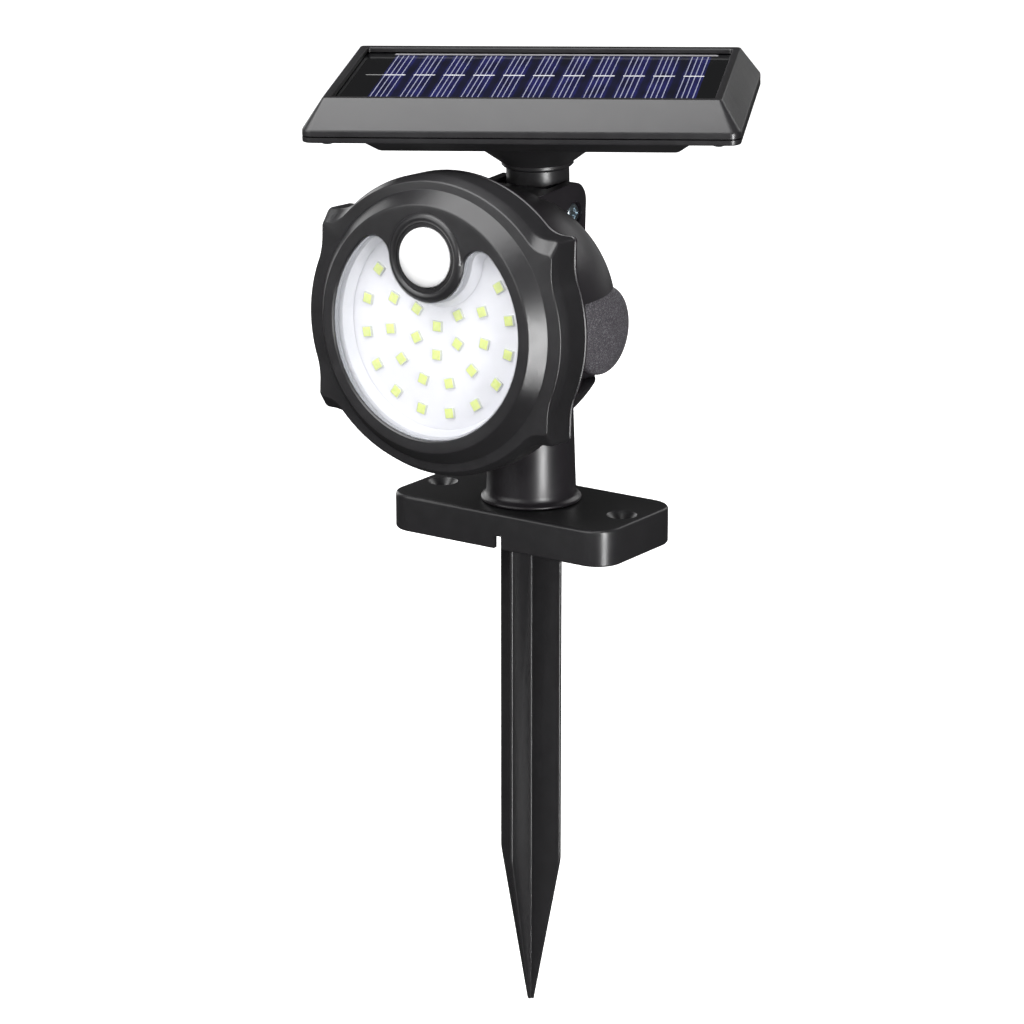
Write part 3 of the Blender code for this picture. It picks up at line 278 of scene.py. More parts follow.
def stacked(axis: Axis, *layers: tuple[Outline, float], rise: float = 0.0) -> list[Ring]:
    """Rings from (outline, position) layers along an axis, raised in v by rise."""
    return [[axis.place(u, v + rise, along) for u, v in outline] for outline, along in layers]


def stack(axis: Axis, *layers: tuple[Outline, float], rise: float = 0.0) -> bmesh.types.BMesh:
    """A solid through (outline, position) layers along an axis."""
    return loft(stacked(axis, *layers, rise=rise))


def prism(
    axis: Axis, outline: Outline, low: float, high: float, rise: float = 0.0
) -> bmesh.types.BMesh:
    """An outline extruded from low to high along an axis."""
    return stack(axis, (outline, low), (outline, high), rise=rise)


def turned(
    axis: Axis,
    profile: Sequence[tuple[float, float]],
    centre: tuple[float, float] = (0.0, 0.0),
    steps: int = 64,
) -> bmesh.types.BMesh:
    """A solid turned from (radius, along) points, either closed or from axis to axis.

    Args:
        axis: The axis that it turns about.
        profile: The section's points.
        centre: The axis's place in outline coordinates.
        steps: How many segments a full turn has.

    Returns:
        The solid.
    """
    shape = bmesh.new()
    start = [shape.verts.new(axis.place(centre[0] + r, centre[1], a)) for r, a in profile]
    edges = [shape.edges.new(pair) for pair in zip(start, start[1:])]
    if profile[0][0] != 0 or profile[-1][0] != 0:
        edges.append(shape.edges.new((start[-1], start[0])))
    bmesh.ops.spin(
        shape,
        geom=start + edges,
        cent=axis.place(centre[0], centre[1], 0.0),
        axis=axis.place(0.0, 0.0, 1.0),
        dvec=Vector(),
        angle=math.tau,
        steps=steps,
        use_merge=True,
        use_duplicate=False,
    )
    bmesh.ops.remove_doubles(shape, verts=shape.verts, dist=SAME_POINT)
    bmesh.ops.recalc_face_normals(shape, faces=shape.faces)
    return shape


def rod(
    axis: Axis,
    radius: float,
    low: float,
    high: float,
    centre: tuple[float, float] = (0.0, 0.0),
    steps: int = 48,
) -> bmesh.types.BMesh:
    """A round bar along an axis.

    Args:
        axis: The bar's axis.
        radius: Its radius.
        low: Its low end.
        high: Its high end.
        centre: The axis's place in outline coordinates.
        steps: How many sides it has.

    Returns:
        The bar.
    """
    return prism(axis, circle(radius, steps, centre), low, high)


def bar_profile(radius: float, low: float, high: float) -> Outline:
    """The profile of a plain round bar between two places on its axis."""
    return [(0.0, low), (radius, low), (radius, high), (0.0, high)]


def span(side: int, near: float, far: float) -> tuple[float, float]:
    """The low and high ends of a stretch on one side, 1 or -1, of the middle plane."""
    return (near, far) if side > 0 else (-far, -near)


def box(low: Sequence[float], high: Sequence[float]) -> bmesh.types.BMesh:
    """A box between two corners."""
    shape = bmesh.new()
    size = Vector(high) - Vector(low)
    middle = (Vector(high) + Vector(low)) / 2
    place = Matrix.Translation(middle) @ Matrix.Diagonal((*size, 1.0))
    bmesh.ops.create_cube(shape, size=1.0, matrix=place)
    return shape


def merged(*shapes: bmesh.types.BMesh) -> bmesh.types.BMesh:
    """Several separate solids in one bmesh.

    Args:
        shapes: The solids, which are freed.

    Returns:
        The solids together.
    """
    whole = bmesh.new()
    for shape in shapes:
        holder = bpy.data.meshes.new("part")
        shape.to_mesh(holder)
        shape.free()
        whole.from_mesh(holder)
        bpy.data.meshes.remove(holder)
    return whole


class Boolean(Enum):
    """What a tool does to a piece."""

    CUT = "DIFFERENCE"
    JOIN = "UNION"


def worked(
    shape: bmesh.types.BMesh, *steps: tuple[Boolean, bmesh.types.BMesh]
) -> bmesh.types.BMesh:
    """Cuts tools out of a solid or joins them to it, in order.

    Args:
        shape: The solid to start from.
        steps: What to do and the tool to do it with.

    Returns:
        The finished solid, with no modifier left on it.
    """
    made: list[bpy.types.Object] = []
    for index, solid in enumerate((shape, *(tool for _, tool in steps))):
        mesh = bpy.data.meshes.new(f"work_{index}")
        solid.to_mesh(mesh)
        solid.free()
        made.append(bpy.data.objects.new(f"work_{index}", mesh))
        bpy.context.scene.collection.objects.link(made[-1])
    target = made[0]
    for (operation, _), tool in zip(steps, made[1:]):
        step = target.modifiers.new(operation.name, "BOOLEAN")
        step.operation = operation.value
        step.solver = "EXACT"
        step.object = tool
    bpy.context.view_layer.update()
    graph = bpy.context.evaluated_depsgraph_get()
    result = bmesh.new()
    result.from_object(target, graph)
    for obj in made:
        mesh = obj.data
        bpy.data.objects.remove(obj)
        bpy.data.meshes.remove(mesh)
    bmesh.ops.remove_doubles(result, verts=result.verts, dist=2e-6)
    bmesh.ops.dissolve_degenerate(result, edges=result.edges, dist=1e-6)
    return result


# ---------------------------------------------------------------- shader nodes
class Nodes:
    """A thin helper that adds and links nodes in one tree."""

    def __init__(self, tree: bpy.types.NodeTree) -> None:
        """Starts on an empty or existing tree."""
        self.tree = tree

    def add(self, kind: str, **settings: object) -> bpy.types.Node:
        """Adds a node and sets its properties by name."""
        node = self.tree.nodes.new(kind)
        for name, value in settings.items():
            setattr(node, name, value)
        return node

    def link(self, source: bpy.types.NodeSocket, target: bpy.types.NodeSocket) -> None:
        """Joins an output to an input."""
        self.tree.links.new(source, target)

    def math(self, operation: str, first: Value, second: Value = 0.0) -> bpy.types.NodeSocket:
        """A Math node of two values."""
        node = self.add("ShaderNodeMath", operation=operation)
        for socket, value in zip(node.inputs, (first, second)):
            self.put(socket, value)
        return node.outputs[0]

    def times(self, first: Value, *others: Value) -> bpy.types.NodeSocket:
        """The product of two or more values."""
        for other in others:
            first = self.math("MULTIPLY", first, other)
        return first

    def put(self, socket: bpy.types.NodeSocket, value: object) -> None:
        """Links a socket, or sets a plain value on it."""
        if isinstance(value, bpy.types.NodeSocket):
            self.link(value, socket)
        else:
            socket.default_value = value

    def noise(
        self,
        vector: bpy.types.NodeSocket,
        scale: Value,
        detail: float = 2.0,
        roughness: float = 0.5,
    ) -> bpy.types.NodeSocket:
        """A Noise Texture's factor.

        Args:
            vector: The coordinates.
            scale: The texture's scale.
            detail: How many finer layers it has.
            roughness: How strong the finer layers are.

        Returns:
            The factor.
        """
        node = self.add("ShaderNodeTexNoise")
        self.link(vector, node.inputs["Vector"])
        self.put(node.inputs["Scale"], scale)
        node.inputs["Detail"].default_value = detail
        node.inputs["Roughness"].default_value = roughness
        return node.outputs["Fac"]

    def mapped(
        self,
        value: bpy.types.NodeSocket,
        low: Value,
        high: Value,
        to_low: Value,
        to_high: Value,
        kind: str = "LINEAR",
    ) -> bpy.types.NodeSocket:
        """A Map Range node.

        Args:
            value: The value to map.
            low: The value that gives to_low.
            high: The value that gives to_high.
            to_low: The low result.
            to_high: The high result.
            kind: The interpolation.

        Returns:
            The mapped value.
        """
        node = self.add("ShaderNodeMapRange", interpolation_type=kind)
        self.link(value, node.inputs["Value"])
        for name, number in (
            ("From Min", low),
            ("From Max", high),
            ("To Min", to_low),
            ("To Max", to_high),
        ):
            self.put(node.inputs[name], number)
        return node.outputs["Result"]

    def mixed(
        self,
        mask: bpy.types.NodeSocket,
        first: bpy.types.NodeSocket | Colour,
        second: bpy.types.NodeSocket | Colour,
    ) -> bpy.types.NodeSocket:
        """A colour between first and second.

        Args:
            mask: 0 for the first and 1 for the second.
            first: The first colour.
            second: The second colour.

        Returns:
            The mixed colour.
        """
        node = self.add("ShaderNodeMix", data_type="RGBA")
        self.link(mask, node.inputs["Factor"])
        for socket, value in zip((node.inputs[6], node.inputs[7]), (first, second)):
            self.put(socket, (*value, 1.0) if isinstance(value, tuple) else value)
        return node.outputs[2]

    def bump(
        self, height: bpy.types.NodeSocket, strength: float, distance: float
    ) -> bpy.types.NodeSocket:
        """A Bump node's normal."""
        node = self.add("ShaderNodeBump")
        node.inputs["Strength"].default_value = strength
        node.inputs["Distance"].default_value = distance
        self.link(height, node.inputs["Height"])
        return node.outputs["Normal"]


def group_tree(
    name: str, inputs: dict[str, float], outputs: Sequence[str]
) -> tuple[bpy.types.NodeTree, bpy.types.Node, bpy.types.Node]:
    """An empty shader node group.

    Args:
        name: The group's name.
        inputs: Each input's name and its first value.
        outputs: The names of the outputs.

    Returns:
        The tree, its input node and its output node.
    """
    tree = bpy.data.node_groups.new(name, "ShaderNodeTree")
    for label, value in inputs.items():
        socket = tree.interface.new_socket(
            name=label, in_out="INPUT", socket_type="NodeSocketFloat"
        )
        socket.default_value = value
    for label in outputs:
        tree.interface.new_socket(name=label, in_out="OUTPUT", socket_type="NodeSocketFloat")
    return tree, tree.nodes.new("NodeGroupInput"), tree.nodes.new("NodeGroupOutput")


def mould_grain_group() -> bpy.types.NodeTree:
    """Moulded plastic: fine spark grain, slow flow marks and a few faint handling marks.

    Returns:
        A group with Size, Low and High in, and Height, Roughness and Tone out.
    """
    tree, start, end = group_tree(
        "MouldGrain", {"Size": 0.0003, "Low": 0.34, "High": 0.44}, ("Height", "Roughness", "Tone")
    )
    nodes = Nodes(tree)
    where = nodes.add("ShaderNodeTexCoord").outputs["Object"]
    scale = nodes.math("DIVIDE", 1.0, start.outputs["Size"])
    fine = nodes.noise(where, scale, 2.0, 0.6)
    coarse = nodes.noise(where, nodes.times(scale, 0.34), 1.0)
    height = nodes.math("ADD", nodes.times(fine, 0.7), nodes.times(coarse, 0.3))
    nodes.link(height, end.inputs["Height"])
    flow = nodes.noise(where, 26.0, 3.0, 0.6)
    marks = nodes.noise(where, 190.0, 2.0, 0.55)
    blend = nodes.math("ADD", nodes.times(flow, 0.65), nodes.times(marks, 0.35))
    spread = nodes.mapped(blend, 0.34, 0.66, start.outputs["Low"], start.outputs["High"])
    nodes.link(spread, end.inputs["Roughness"])
    nodes.link(nodes.mapped(blend, 0.3, 0.7, 0.0, 1.0), end.inputs["Tone"])
    return tree


def stripe_group() -> bpy.types.NodeTree:
    """A printed stripe: 1 within Half of Centre, falling to 0 over Edge.

    Returns:
        A group with Coordinate, Centre, Half and Edge in, and Mask out.
    """
    tree, start, end = group_tree(
        "PrintedStripe", {"Coordinate": 0.0, "Centre": 0.0, "Half": 1.0, "Edge": 0.1}, ("Mask",)
    )
    nodes = Nodes(tree)
    offset = nodes.math("SUBTRACT", start.outputs["Coordinate"], start.outputs["Centre"])
    away = nodes.math("ABSOLUTE", offset)
    outer = nodes.math("ADD", start.outputs["Half"], start.outputs["Edge"])
    mask = nodes.mapped(away, start.outputs["Half"], outer, 1.0, 0.0, "SMOOTHSTEP")
    nodes.link(mask, end.inputs["Mask"])
    return tree


class SharedGroups:
    """The node groups that several finishes use, each built once."""

    made: ClassVar[dict[str, bpy.types.NodeTree]] = {}

    @classmethod
    def get(cls, name: str, build: Callable[[], bpy.types.NodeTree]) -> bpy.types.NodeTree:
        """The group of that name, built on first use."""
        if name not in cls.made:
            cls.made[name] = build()
        return cls.made[name]


def new_material(name: str) -> tuple[bpy.types.Material, Nodes, bpy.types.Node]:
    """A material with its Principled shader.

    Args:
        name: The material's name.

    Returns:
        The material, its nodes and the shader.
    """
    made = bpy.data.materials.new(name)
    made.use_nodes = True
    return made, Nodes(made.node_tree), made.node_tree.nodes["Principled BSDF"]


@dataclass(frozen=True)
class MouldedPlastic:
    """An injection-moulded plastic with a fine spark grain.

    Its colour drifts from dark to light and its roughness from smooth to rough. The grain is
    the size of the texture's grains and the depth is how deep they are.
    """

    name: str
    dark: Colour
    light: Colour
    smooth: float
    rough: float
    grain: float
    depth: float

    def material(self) -> bpy.types.Material:
        """The finish as a material.

        Returns:
            The material.
        """
        made, nodes, shader = new_material(self.name)
        grain = nodes.add("ShaderNodeGroup")
        grain.node_tree = SharedGroups.get("MouldGrain", mould_grain_group)
        for label, value in (("Size", self.grain), ("Low", self.smooth), ("High", self.rough)):
            grain.inputs[label].default_value = value
        colour = nodes.mixed(grain.outputs["Tone"], self.dark, self.light)
        nodes.link(colour, shader.inputs["Base Color"])
        nodes.link(grain.outputs["Roughness"], shader.inputs["Roughness"])
        normal = nodes.bump(grain.outputs["Height"], 0.5, self.depth)
        nodes.link(normal, shader.inputs["Normal"])
        return made


@dataclass(frozen=True)
class PaintedGlintPlastic:
    """The satin black of the pivot caps: a real fine grain, with pale specks painted into its
    colour for the glints of that grain.
    """

    name: str = "textured_black_caps"

    def material(self) -> bpy.types.Material:
        """The finish as a material.

        Returns:
            The material.
        """
        made, nodes, shader = new_material(self.name)
        where = nodes.add("ShaderNodeTexCoord").outputs["Object"]
        speck = nodes.noise(where, 2600.0, 2.0, 0.7)
        # painted glints: pale specks in the colour stand in for light glinting off the grain
        painted_glints = nodes.mapped(speck, 0.46, 0.70, 0.0, 1.0, "SMOOTHSTEP")
        colour = nodes.mixed(painted_glints, (0.055, 0.051, 0.058), (0.24, 0.23, 0.25))
        nodes.link(colour, shader.inputs["Base Color"])
        broad = nodes.noise(where, 90.0, 2.0)
        nodes.link(nodes.mapped(broad, 0.3, 0.7, 0.42, 0.54), shader.inputs["Roughness"])
        nodes.link(nodes.bump(speck, 0.55, 0.00012), shader.inputs["Normal"])
        return made


@dataclass(frozen=True)
class ClearWindow:
    """The clear, glossy window over the LEDs, denser at a grazing angle, where its pale colour is a
    painted reflection.
    """

    name: str = "clear_window"

    def material(self) -> bpy.types.Material:
        """The finish as a material.

        Returns:
            The material.
        """
        made, nodes, shader = new_material(self.name)
        shader.inputs["Base Color"].default_value = (0.80, 0.82, 0.87, 1.0)
        where = nodes.add("ShaderNodeTexCoord").outputs["Object"]
        haze = nodes.noise(where, 60.0, 3.0)
        nodes.link(nodes.mapped(haze, 0.3, 0.7, 0.04, 0.09), shader.inputs["Roughness"])
        # painted reflection: the pale base colour shows more at grazing angles in place of the
        # window's own reflection
        weight = nodes.add("ShaderNodeLayerWeight")
        weight.inputs["Blend"].default_value = 0.25
        alpha = nodes.mapped(weight.outputs["Facing"], 0.0, 1.0, 0.07, 0.75)
        nodes.link(alpha, shader.inputs["Alpha"])
        ripple = nodes.noise(where, 22.0, 1.0)
        nodes.link(nodes.bump(ripple, 0.1, 0.0002), shader.inputs["Normal"])
        return made


@dataclass(frozen=True)
class LedPhosphor:
    """The yellow-green phosphor of an unlit white LED, with a faint painted glow."""

    name: str = "led_phosphor"

    def material(self) -> bpy.types.Material:
        """The finish as a material.

        Returns:
            The material.
        """
        made, nodes, shader = new_material(self.name)
        where = nodes.add("ShaderNodeTexCoord").outputs["Object"]
        cloud = nodes.noise(where, 900.0, 3.0)
        tone = nodes.mapped(cloud, 0.35, 0.65, 0.0, 1.0)
        colour = nodes.mixed(tone, (0.58, 0.70, 0.035), (0.70, 0.79, 0.08))
        nodes.link(colour, shader.inputs["Base Color"])
        nodes.link(nodes.mapped(cloud, 0.3, 0.7, 0.25, 0.4), shader.inputs["Roughness"])
        nodes.link(nodes.bump(cloud, 0.2, 0.0001), shader.inputs["Normal"])
        # painted glow: a faint emission makes the unlit phosphor shine as if lit
        shader.inputs["Emission Color"].default_value = (0.80, 0.92, 0.30, 1.0)
        shader.inputs["Emission Strength"].default_value = 0.12
        return made


@dataclass(frozen=True)
class PlatedSteel:
    """Zinc-plated or nickelled steel, with fine turning marks."""

    name: str = "zinc_steel"
    tint: Colour = (0.56, 0.64, 0.68)

    def material(self) -> bpy.types.Material:
        """The finish as a material.

        Returns:
            The material.
        """
        made, nodes, shader = new_material(self.name)
        where = nodes.add("ShaderNodeTexCoord").outputs["Object"]
        spangle = nodes.noise(where, 700.0, 3.0, 0.6)
        tone = nodes.mapped(spangle, 0.3, 0.7, 0.0, 1.0)
        darker: Colour = (self.tint[0] * 0.72, self.tint[1] * 0.76, self.tint[2] * 0.80)
        nodes.link(nodes.mixed(tone, darker, self.tint), shader.inputs["Base Color"])
        nodes.link(nodes.mapped(spangle, 0.3, 0.7, 0.24, 0.42), shader.inputs["Roughness"])
        shader.inputs["Metallic"].default_value = 1.0
        scratch = nodes.noise(where, 3200.0, 2.0)
        nodes.link(nodes.bump(scratch, 0.25, 0.00004), shader.inputs["Normal"])
        return made


@dataclass(frozen=True)
class CircuitBoard:
    """Green solder mask over a faint pattern of copper tracks."""

    name: str = "board_green"

    def material(self) -> bpy.types.Material:
        """The finish as a material.

        Returns:
            The material.
        """
        made, nodes, shader = new_material(self.name)
        where = nodes.add("ShaderNodeTexCoord").outputs["Object"]
        brick = nodes.add("ShaderNodeTexBrick")
        nodes.link(where, brick.inputs["Vector"])
        brick.inputs["Scale"].default_value = 260.0
        brick.inputs["Mortar Size"].default_value = 0.03
        brick.inputs["Color1"].default_value = (0.012, 0.115, 0.045, 1.0)
        brick.inputs["Color2"].default_value = (0.015, 0.130, 0.052, 1.0)
        brick.inputs["Mortar"].default_value = (0.020, 0.180, 0.075, 1.0)
        nodes.link(brick.outputs["Color"], shader.inputs["Base Color"])
        cloud = nodes.noise(where, 300.0, 2.0)
        nodes.link(nodes.mapped(cloud, 0.3, 0.7, 0.3, 0.45), shader.inputs["Roughness"])
        nodes.link(nodes.bump(brick.outputs["Fac"], 0.3, 0.00005), shader.inputs["Normal"])
        return made


@dataclass(frozen=True)
class CellPrint:
    """The printed solar cells, in millimetres of the panel's own plan.

    Along runs over the groups of fingers and across runs up each cell, from the panel's middle.
    """

    name: str = "solar_cells"
    pitch: float = 9.78
    first: float = -49.8
    groups: int = 11
    cell_half_width: float = 3.45
    cell_middle: float = 2.8
    fingers: tuple[float, ...] = (0.0, 1.75, 3.4, 5.3)
    cell_top: float = 33.3
    cell_bottom: float = -31.5
    bus_height: float = 3.4
    lead_in: float = 1.5
    margins: tuple[float, float] = (0.65, 6.2)
    backing: Colour = (0.0025, 0.0026, 0.0032)
    silver: Colour = (0.50, 0.51, 0.64)
    bus_silver: Colour = (0.80, 0.80, 0.82)
    lead_grey: Colour = (0.42, 0.42, 0.42)
    painted_rim_highlight: Colour = (0.40, 0.39, 0.41)

    def material(self) -> bpy.types.Material:
        """The finish as a material.

        Returns:
            The material.
        """
        made, nodes, shader = new_material(self.name)
        uv = nodes.add("ShaderNodeUVMap", uv_map="plan")
        apart = nodes.add("ShaderNodeSeparateXYZ")
        nodes.link(uv.outputs["UV"], apart.inputs[0])
        along, across = apart.outputs["X"], apart.outputs["Y"]
        left = self.first - self.margins[0]
        right = self.first + self.pitch * (self.groups - 1) + self.margins[1]
        within = self.stripe(nodes, along, (left + right) / 2, (right - left) / 2, 0.15)
        middle = (self.cell_top + self.cell_bottom) / 2
        tall = self.stripe(nodes, across, middle, (self.cell_top - self.cell_bottom) / 2, 0.2)
        field = nodes.times(within, tall)
        shifted = nodes.math("SUBTRACT", along, self.first - self.lead_in)
        repeat = nodes.math("MODULO", shifted, self.pitch)
        local = nodes.math("SUBTRACT", repeat, self.lead_in)
        cell = self.stripe(nodes, local, self.cell_middle, self.cell_half_width, 0.5)
        shade = nodes.math("ADD", nodes.times(cell, 0.70), 0.30)
        silicon = self.silicon(nodes, along, across)
        colour = nodes.mixed(nodes.times(field, shade), self.backing, silicon)
        lines = self.stripe(nodes, local, self.fingers[0], 0.10, 0.12)
        for finger in self.fingers[1:]:
            lines = nodes.math("MAXIMUM", lines, self.stripe(nodes, local, finger, 0.10, 0.12))
        colour = nodes.mixed(nodes.times(lines, field, 0.72), colour, self.silver)
        bus = nodes.times(
            self.stripe(nodes, across, self.bus_height, 0.55, 0.25),
            within,
            self.stripe(nodes, local, 3.1, 3.4, 0.2),
        )
        colour = nodes.mixed(bus, colour, self.bus_silver)
        lead = nodes.times(
            self.stripe(nodes, along, -53.2, 2.8, 0.4),
            self.stripe(nodes, across, self.bus_height, 0.45, 0.3),
            0.6,
        )
        colour = nodes.mixed(lead, colour, self.lead_grey)
        # painted highlight: a pale grey band along the far edge of the cells stands in for the lit
        # inner edge of the frame's rim
        edge = nodes.times(
            self.stripe(nodes, across, 35.4, 0.9, 0.35),
            self.stripe(nodes, along, 2.5, 53.5, 0.5),
            0.9,
        )
        colour = nodes.mixed(edge, colour, self.painted_rim_highlight)
        nodes.link(colour, shader.inputs["Base Color"])
        where = nodes.add("ShaderNodeTexCoord").outputs["Object"]
        haze = nodes.noise(where, 70.0, 3.0)
        nodes.link(nodes.mapped(haze, 0.3, 0.7, 0.05, 0.10), shader.inputs["Roughness"])
        shader.inputs["Specular IOR Level"].default_value = 0.35
        nodes.link(nodes.bump(nodes.noise(where, 40.0, 1.0), 0.1, 0.0002), shader.inputs["Normal"])
        return made

    def stripe(
        self,
        nodes: Nodes,
        coordinate: bpy.types.NodeSocket,
        centre: float,
        half: float,
        edge: float,
    ) -> bpy.types.NodeSocket:
        """A printed stripe's mask.

        Args:
            nodes: The material's nodes.
            coordinate: The coordinate across the stripe.
            centre: The stripe's middle.
            half: Half its width.
            edge: How far its edge fades.

        Returns:
            The mask, 1 on the stripe.
        """
        node = nodes.add("ShaderNodeGroup")
        node.node_tree = SharedGroups.get("PrintedStripe", stripe_group)
        nodes.link(coordinate, node.inputs["Coordinate"])
        for label, value in (("Centre", centre), ("Half", half), ("Edge", edge)):
            node.inputs[label].default_value = value
        return node.outputs["Mask"]

    def silicon(
        self, nodes: Nodes, along: bpy.types.NodeSocket, across: bpy.types.NodeSocket
    ) -> bpy.types.NodeSocket:
        """The cells' blue, which drifts from cell to cell and along each cell.

        Args:
            nodes: The material's nodes.
            along: The coordinate along the panel.
            across: The coordinate across it.

        Returns:
            The colour.
        """
        both = nodes.add("ShaderNodeCombineXYZ")
        nodes.link(along, both.inputs["X"])
        nodes.link(nodes.times(across, 0.35), both.inputs["Y"])
        drift = nodes.noise(both.outputs[0], 0.16, 2.0)
        return nodes.mixed(
            nodes.mapped(drift, 0.35, 0.65, 0.0, 1.0),
            (0.0030, 0.0038, 0.030),
            (0.011, 0.012, 0.092),
        )


@dataclass(frozen=True)
class StudioPaper:
    """The pale seamless floor and wall of the studio."""

    name: str = "studio_paper"
    glow: float = 0.93

    def material(self) -> bpy.types.Material:
        """The finish as a material.

        Returns:
            The material.
        """
        made, nodes, shader = new_material(self.name)
        where = nodes.add("ShaderNodeTexCoord").outputs["Object"]
        tooth = nodes.noise(where, 300.0, 2.0)
        colour = nodes.mixed(tooth, (0.86, 0.86, 0.86), (0.90, 0.90, 0.90))
        nodes.link(colour, shader.inputs["Base Color"])
        shader.inputs["Roughness"].default_value = 0.95
        shader.inputs["Specular IOR Level"].default_value = 0.1
        shader.inputs["Emission Color"].default_value = (1.0, 1.0, 1.0, 1.0)
        shader.inputs["Emission Strength"].default_value = self.glow
        return made


class Finishes:
    """One material for each finish of the light."""

    def __init__(self) -> None:
        """Builds every material once."""
        self.black = MouldedPlastic(
            "moulded_black",
            dark=(0.0150, 0.0145, 0.0155),
            light=(0.0210, 0.0205, 0.0220),
            smooth=0.29,
            rough=0.38,
            grain=0.00022,
            depth=0.00004,
        ).material()
        self.deep_black = MouldedPlastic(
            "shell_black",
            dark=(0.0140, 0.0125, 0.0145),
            light=(0.0200, 0.0180, 0.0210),
            smooth=0.30,
            rough=0.40,
            grain=0.00022,
            depth=0.00004,
        ).material()
        self.grip_rubber = MouldedPlastic(
            "button_rubber",
            dark=(0.014, 0.014, 0.014),
            light=(0.022, 0.022, 0.022),
            smooth=0.62,
            rough=0.78,
            grain=0.00018,
            depth=0.00006,
        ).material()
        self.nylon = MouldedPlastic(
            "washer_nylon",
            dark=(0.50, 0.49, 0.45),
            light=(0.60, 0.59, 0.55),
            smooth=0.42,
            rough=0.52,
            grain=0.0003,
            depth=0.00004,
        ).material()
        self.white = MouldedPlastic(
            "reflector_white",
            dark=(0.74, 0.74, 0.78),
            light=(0.80, 0.80, 0.84),
            smooth=0.30,
            rough=0.42,
            grain=0.0004,
            depth=0.00003,
        ).material()
        self.sensor = MouldedPlastic(
            "sensor_white",
            dark=(0.90, 0.90, 0.90),
            light=(0.94, 0.94, 0.94),
            smooth=0.30,
            rough=0.40,
            grain=0.0004,
            depth=0.00002,
        ).material()
        self.board_white = MouldedPlastic(
            "led_board_white",
            dark=(0.86, 0.855, 0.90),
            light=(0.90, 0.895, 0.935),
            smooth=0.42,
            rough=0.55,
            grain=0.0005,
            depth=0.00003,
        ).material()
        self.led_body = MouldedPlastic(
            "led_body",
            dark=(0.50, 0.53, 0.40),
            light=(0.60, 0.63, 0.50),
            smooth=0.32,
            rough=0.45,
            grain=0.0002,
            depth=0.00002,
        ).material()
        self.battery = MouldedPlastic(
            "battery_wrap",
            dark=(0.045, 0.13, 0.36),
            light=(0.06, 0.16, 0.42),
            smooth=0.22,
            rough=0.32,
            grain=0.002,
            depth=0.00003,
        ).material()
        self.caps = PaintedGlintPlastic().material()
        self.clear = ClearWindow().material()
        self.phosphor = LedPhosphor().material()
        self.zinc = PlatedSteel().material()
        self.board = CircuitBoard().material()
        self.cells = CellPrint().material()
        self.paper = StudioPaper().material()


# ---------------------------------------------------------------- pieces
@dataclass(frozen=True)
class Mount:
    """Where a sub-assembly's pieces go: their body's frame and name."""

    body: str
    place: Matrix

    def piece(
        self,
        name: str,
        shape: bmesh.types.BMesh,
        material: bpy.types.Material,
        slot: Slot,
        stands_for: Sequence[str] = (),
        crease: float = 32.0,
    ) -> bpy.types.Object:
        """Makes a finished piece from a bmesh and frees it.

        Args:
            name: The piece's name.
            shape: The solid, in the body's frame.
            material: Its finish.
            slot: The record's slot that the finish belongs to; not used.
            stands_for: The CAD nodes that it replaces.
            crease: The angle past which an edge stays sharp, in degrees.

        Returns:
            The object, riding on the body.
        """
        bmesh.ops.remove_doubles(shape, verts=shape.verts, dist=SAME_POINT)
        bmesh.ops.recalc_face_normals(shape, faces=shape.faces)
        bmesh.ops.transform(shape, matrix=self.place, verts=shape.verts)
        mesh = bpy.data.meshes.new(name)
        shape.to_mesh(mesh)
        shape.free()
        mesh.shade_smooth()
        mesh.set_sharp_from_angle(angle=math.radians(crease))
        mesh.materials.append(material)
        made = bpy.data.objects.new(name, mesh)
        bpy.context.scene.collection.objects.link(made)
        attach(made, self.body)
        if stands_for:
            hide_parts(*stands_for)
        LOG.info("%s: %d faces, rides on %s", name, len(mesh.polygons), self.body)
        return made


BASE = Mount("base", BASE_PLACE)
HEAD = Mount("head", HEAD_PLACE)
BUTTON = Mount("button", HEAD_PLACE)
NECK = Mount("neck", NECK_PLACE)
PANEL = Mount("panel", PANEL_PLACE)


@dataclass(frozen=True)
class CrossScrew:
    """A pan-head screw with a cross recess."""

    head_radius: float
    head_height: float
    shank_radius: float
    length: float

    def shape(
        self, axis: Axis, base: float, direction: int, centre: tuple[float, float]
    ) -> bmesh.types.BMesh:
        """The screw, its head on base and its shank along the direction.

        Args:
            axis: The screw's axis.
            base: Where the underside of the head is.
            direction: 1 or -1, the way the shank points.
            centre: The screw's centre in outline coordinates.

        Returns:
            The solid.
        """
        top = base - direction * self.head_height
        dome = [
            (0.0, top),
            (self.head_radius * 0.55, top + direction * self.head_height * 0.10),
            (self.head_radius * 0.88, top + direction * self.head_height * 0.38),
            (self.head_radius, base - direction * self.head_height * 0.25),
            (self.head_radius, base),
        ]
        shank = [
            (self.shank_radius, base),
            (self.shank_radius, base + direction * (self.length - self.shank_radius)),
            (0.0, base + direction * self.length),
        ]
        body = turned(axis, soft_profile(dome, self.head_height * 0.3, 2) + shank, centre, 32)
        floor = top + direction * self.head_height * 0.55
        reach = self.head_radius * 0.58
        slot = reach * 0.28
        tools = []
        for reach_u, reach_v in ((reach, slot), (slot, reach)):
            outline = [
                (centre[0] + reach_u, centre[1] + reach_v),
                (centre[0] - reach_u, centre[1] + reach_v),
                (centre[0] - reach_u, centre[1] - reach_v),
                (centre[0] + reach_u, centre[1] - reach_v),
            ]
            tools.append((Boolean.CUT, prism(axis, outline, top - direction * 0.001, floor)))
        return worked(body, *tools)


